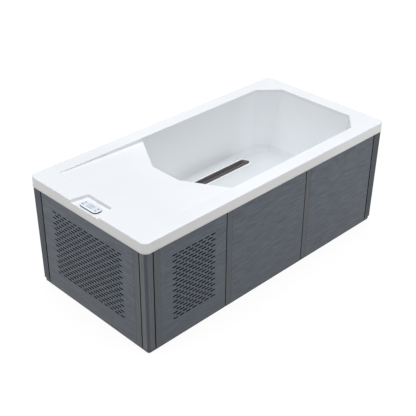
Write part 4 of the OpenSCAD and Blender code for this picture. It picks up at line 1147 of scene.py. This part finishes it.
    def mark(self, number: int, at: Vector) -> None:
        """Prints a plain mark in a button's dish: an arrowhead on 1 and 3, a ring on 2 and 4.

        Args:
            number: The button's number.
            at: The middle of the dish.
        """
        arrow = number in (1, 3)
        profile = ((0, self.mark_r[0]), (self.mark_h, self.mark_r[1]))
        mark = Piece.turned(f"button_mark_{number}", at, profile, 3 if arrow else 24)
        if arrow:
            turn = Matrix.Rotation(math.pi / 2 * (number - 2), 4, "Z")
            mark.thing.data.transform(Matrix.Translation(at) @ turn @ Matrix.Translation(-at))
        else:
            below = at - Vector((0, 0, PAST))
            mark.cut_by(Piece.turned("hole", below, ((0, self.ring_r), (2 * PAST, self.ring_r)), 24))
        mark.smooth(30.0)
        self.dress(mark, "button_grey", "print_dark", body=f"button_{number}")

    def digit(self, name: str, lit: str, centre: Vector) -> list[Piece]:
        """A seven-stroke digit that reads from the end of the tub.

        Args:
            name: The digit's name.
            lit: The strokes that show, by their letters a to g.
            centre: The digit's middle.

        Returns:
            Its strokes.
        """
        strokes = []
        for key in lit:
            row, side = self.STROKES[key]
            middle = centre + Vector((row * self.digit_h, -side * self.digit_w, 0)) / 2
            post = (self.digit_h / 2 - self.stroke * 0.8, self.stroke, 0)
            level = (self.stroke, self.digit_w - self.stroke, 0)
            half = Vector(post if side else level) / 2
            stroke = Piece.block(f"{name}_{key}", middle - half, middle + half + Vector((0, 0, self.ink)))
            strokes.append(stroke.round_corners(self.stroke * 0.45, 1))
        return strokes

    def display(self) -> None:
        """Models the display: its pane, dark frame and a plain reading."""
        low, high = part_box("display_lens")
        pane = Piece.block("display_pane", low, high - Vector((0, 0, self.ink)))
        pane.round_corners(self.window_r, 6).round_top(self.pane_edge, 3).smooth(self.crease)
        self.dress(pane, "lens_clear", "display_glass", "display_lens")
        inset = Vector((self.frame_in, self.frame_in, 0))
        core = inset + Vector((self.frame_w, self.frame_w, 0))
        frame_low, frame_top = low + Vector((0, 0, self.frame_lift)), high - Vector((0, 0, 2 * HAIR))
        rim = Piece.block("display_frame", frame_low + inset, frame_top - inset)
        rim.round_corners(self.frame_r, 5)
        hole = Piece.block("hole", low + core, high - core + Vector((0, 0, self.frame_cut)))
        rim.cut_by(hole.round_corners(self.frame_r - 1 * MM, 4)).face_outwards().smooth(self.crease)
        self.dress(rim, "lens_clear", "print_dark")
        face = (low + high) / 2
        face.z = high.z - self.ink - HAIR
        tens, units = (face + Vector((0, place, 0)) for place in self.digit_y)
        strokes = self.digit("digit_tens", "bc", tens) + self.digit("digit_units", "abcdef", units)
        reading = strokes[0].joined(*strokes[1:])
        reading.thing.name = "display_reading"
        reading.smooth(30.0)
        self.dress(reading, "lens_clear", "print_dark")

    def model(self) -> None:
        """Models the console's pieces."""
        self.bezel()
        self.sunk_field()
        for number in BUTTONS:
            self.button(number)
        self.display()


@dataclass
class BasinFittings(Assembly):
    """What sits in the basin: the suction grille, its trim and the nozzle."""

    trim: float = 12 * MM
    trim_h: float = 3 * MM
    floor_z: float = 272 * MM
    play: float = 0.8 * MM
    crease: float = 40.0
    eye: Pair = (15 * MM, 3 * MM)
    eye_out: float = 1.8 * MM
    trim_edge: float = 0.9 * MM
    flat: float = 0.2 * MM

    def grille(self) -> None:
        """Models the lift-out grille with eased edges."""
        cover = Piece.from_node("floor_grille", "grille_cover").softened(0.6 * MM, 1, 40.0).smooth(self.crease)
        self.dress(cover, "grille_dark", "grille_plastic", "floor_grille", body="grille")

    def border(self) -> None:
        """Models the pale trim that frames the grille on the basin floor."""
        low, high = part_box("floor_grille")
        low.z, high.z = self.floor_z - 1 * MM, self.floor_z + self.trim_h
        gap = Vector((self.play, self.play, 0))
        grow = gap + Vector((self.trim, self.trim, 0))
        through = gap + Vector((0, 0, 1 * MM))
        ring = Piece.block("grille_trim", low - grow, high + grow)
        ring.cut_by(Piece.block("hole", low - through, high + through)).round_top(self.trim_edge, 3)
        ring.face_outwards().smooth(self.crease)
        self.dress(ring, "pipe_white", "trim_white")

    def nozzle(self) -> None:
        """Models the return nozzle with its turning eye."""
        low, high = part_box("return_nozzle")
        flange = Piece.from_node("return_nozzle", "nozzle_flange").softened(1.2 * MM, 3, 60.0).smooth(self.crease)
        self.dress(flange, "pipe_white", "trim_white", "return_nozzle")
        centre = (low + high) / 2
        front = Vector((high.x - self.flat, centre.y, centre.z))
        free_the_bench()
        bpy.ops.mesh.primitive_torus_add(
            location=(high.x - self.eye_out, centre.y, centre.z), rotation=(0, math.pi / 2, 0),
            major_radius=self.eye[0], minor_radius=self.eye[1], major_segments=48, minor_segments=14,
        )
        eye = Piece(bpy.context.object, "nozzle_eye").settle()
        with eye.editing(Part.VERT):
            eye.pick(Part.VERT, lambda vert: vert.co.x > front.x)
            bpy.ops.transform.resize(value=(0.0, 1.0, 1.0), center_override=front)
        eye.face_outwards().smooth(50.0)
        self.dress(eye, "pipe_white", "pipe_white")

    def model(self) -> None:
        """Models the basin's fittings."""
        self.grille()
        self.border()
        self.nozzle()


@dataclass
class Frame(Assembly):
    """The tube frame, its battens, bearers and the bulkhead."""

    COATED: ClassVar[Coats] = {
        "galvanised_tube": "base_rails frame_uprights top_rails basin_bearers deck_beam equipment_plate",
        "batten_timber": "rim_battens",
        "board_grey": "bulkhead",
        "fastener_steel": "plate_bolts",
    }


@dataclass
class ChillerBay(Assembly):
    """The bay behind the vented end: chiller, pump, filter and controls."""

    COATED: ClassVar[Coats] = {
        "coil_fins": "condenser",
        "fan_black": "fan_shroud fan_motor fan_rotor",
        "galvanised_tube": "fan_bracket",
        "shaft_steel": "fan_shaft",
        "compressor_enamel": "compressor",
        "seal_rubber": "compressor_mounts",
        "vessel_white": "heat_exchanger",
        "copper_line": "refrigerant_lines filter_drier",
        "housing_black": "circulation_pump filter_housing filter_lid filter_lock_ring cable_gland",
        "filter_pleats": "filter_cartridge",
        "board_grey": "control_box control_box_lid ozone_generator",
        "pipe_white": "water_pipes drain_outlet",
        "brass_body": "drain_valve",
        "lever_enamel": "drain_handle",
    }


@dataclass
class Studio:
    """A plain pale floor, soft light from above and the camera."""

    eye: Vector = field(default_factory=lambda: Vector((-3.28017, -3.20359, 3.11396)))
    aim: Vector = field(default_factory=lambda: Vector((0.5926, 0.6115, -0.5244)))
    lens: float = 75.36
    shift: float = 0.0296
    floor_size: float = 60.0
    curtain_r: float = 27.0
    curtain_h: float = 14.0
    sun: float = 3.2
    sun_width: float = 100.0
    sun_turn: tuple[float, float, float] = (2.0, -2.0, 0.0)
    sky: float = 0.18

    def camera(self) -> None:
        """Sets the camera at the photograph's angle."""
        data = bpy.data.cameras.new("studio_camera")
        data.lens = self.lens
        data.shift_x = self.shift
        data.clip_end = 200.0
        camera = bpy.data.objects.new("studio_camera", data)
        bpy.context.scene.collection.objects.link(camera)
        camera.location = self.eye
        camera.rotation_euler = self.aim.to_track_quat("-Z", "Y").to_euler()
        bpy.context.scene.camera = camera

    def floor(self) -> None:
        """Lays the pale floor."""
        free_the_bench()
        bpy.ops.mesh.primitive_plane_add(size=self.floor_size, location=(0, 0, 0))
        floor = bpy.context.object
        floor.name = "studio_floor"
        sheet = Sheet("studio_floor")
        cloud = sheet.lay(Pattern(0.6, 2.0))
        tone = sheet.ramp(cloud, (0.3, (0.17, 0.17, 0.168)), (0.7, (0.175, 0.175, 0.173)))
        sheet.feed(Base_Color=tone, Roughness=0.9, Specular_IOR_Level=0.0)
        sheet.feed(Emission_Color=(1.0, 0.998, 0.99, 1.0), Emission_Strength=0.86)
        floor.data.materials.append(sheet.material)
        self.curtain(sheet.material)

    def curtain(self, material: Material) -> None:
        """Stands a pale curtain round the floor, so that low views end in it.

        Args:
            material: The floor's finish, which the curtain shares.
        """
        free_the_bench()
        bpy.ops.mesh.primitive_cylinder_add(
            vertices=96, radius=self.curtain_r, depth=self.curtain_h,
            end_fill_type="NOTHING", location=(0, 0, self.curtain_h / 2),
        )
        curtain = bpy.context.object
        curtain.name = "studio_curtain"
        curtain.data.materials.append(material)
        curtain.visible_diffuse = False
        curtain.visible_glossy = False
        curtain.visible_shadow = False

    def light(self) -> None:
        """Hangs one broad soft sun overhead, in an even and faintly cool sky."""
        data = bpy.data.lights.new("overhead", "SUN")
        data.energy = self.sun
        data.color = (0.945, 0.968, 1.0)
        data.angle = math.radians(self.sun_width)
        lamp = bpy.data.objects.new("overhead", data)
        lamp.rotation_euler = [math.radians(turn) for turn in self.sun_turn]
        scene = bpy.context.scene
        scene.collection.objects.link(lamp)
        world = bpy.data.worlds.new("studio_world")
        world.use_nodes = True
        backdrop = world.node_tree.nodes["Background"]
        backdrop.inputs["Color"].default_value = (0.95, 0.975, 1.0, 1.0)
        backdrop.inputs["Strength"].default_value = self.sky
        scene.world = world
        scene.view_settings.view_transform = "Standard"

    def build(self) -> None:
        """Sets up camera, floor and light."""
        self.camera()
        self.floor()
        self.light()


def main() -> None:
    """Sets up the studio, then builds and dresses every sub-assembly."""
    logging.basicConfig(level=logging.INFO, format="%(name)s: %(message)s")
    palette = Palette()
    Studio().build()
    for assembly in (Shell, Skirt, Console, BasinFittings, Frame, ChillerBay):
        LOG.info("building %s", assembly.__name__)
        assembly(palette).build()


if __name__ == "__main__":
    main()
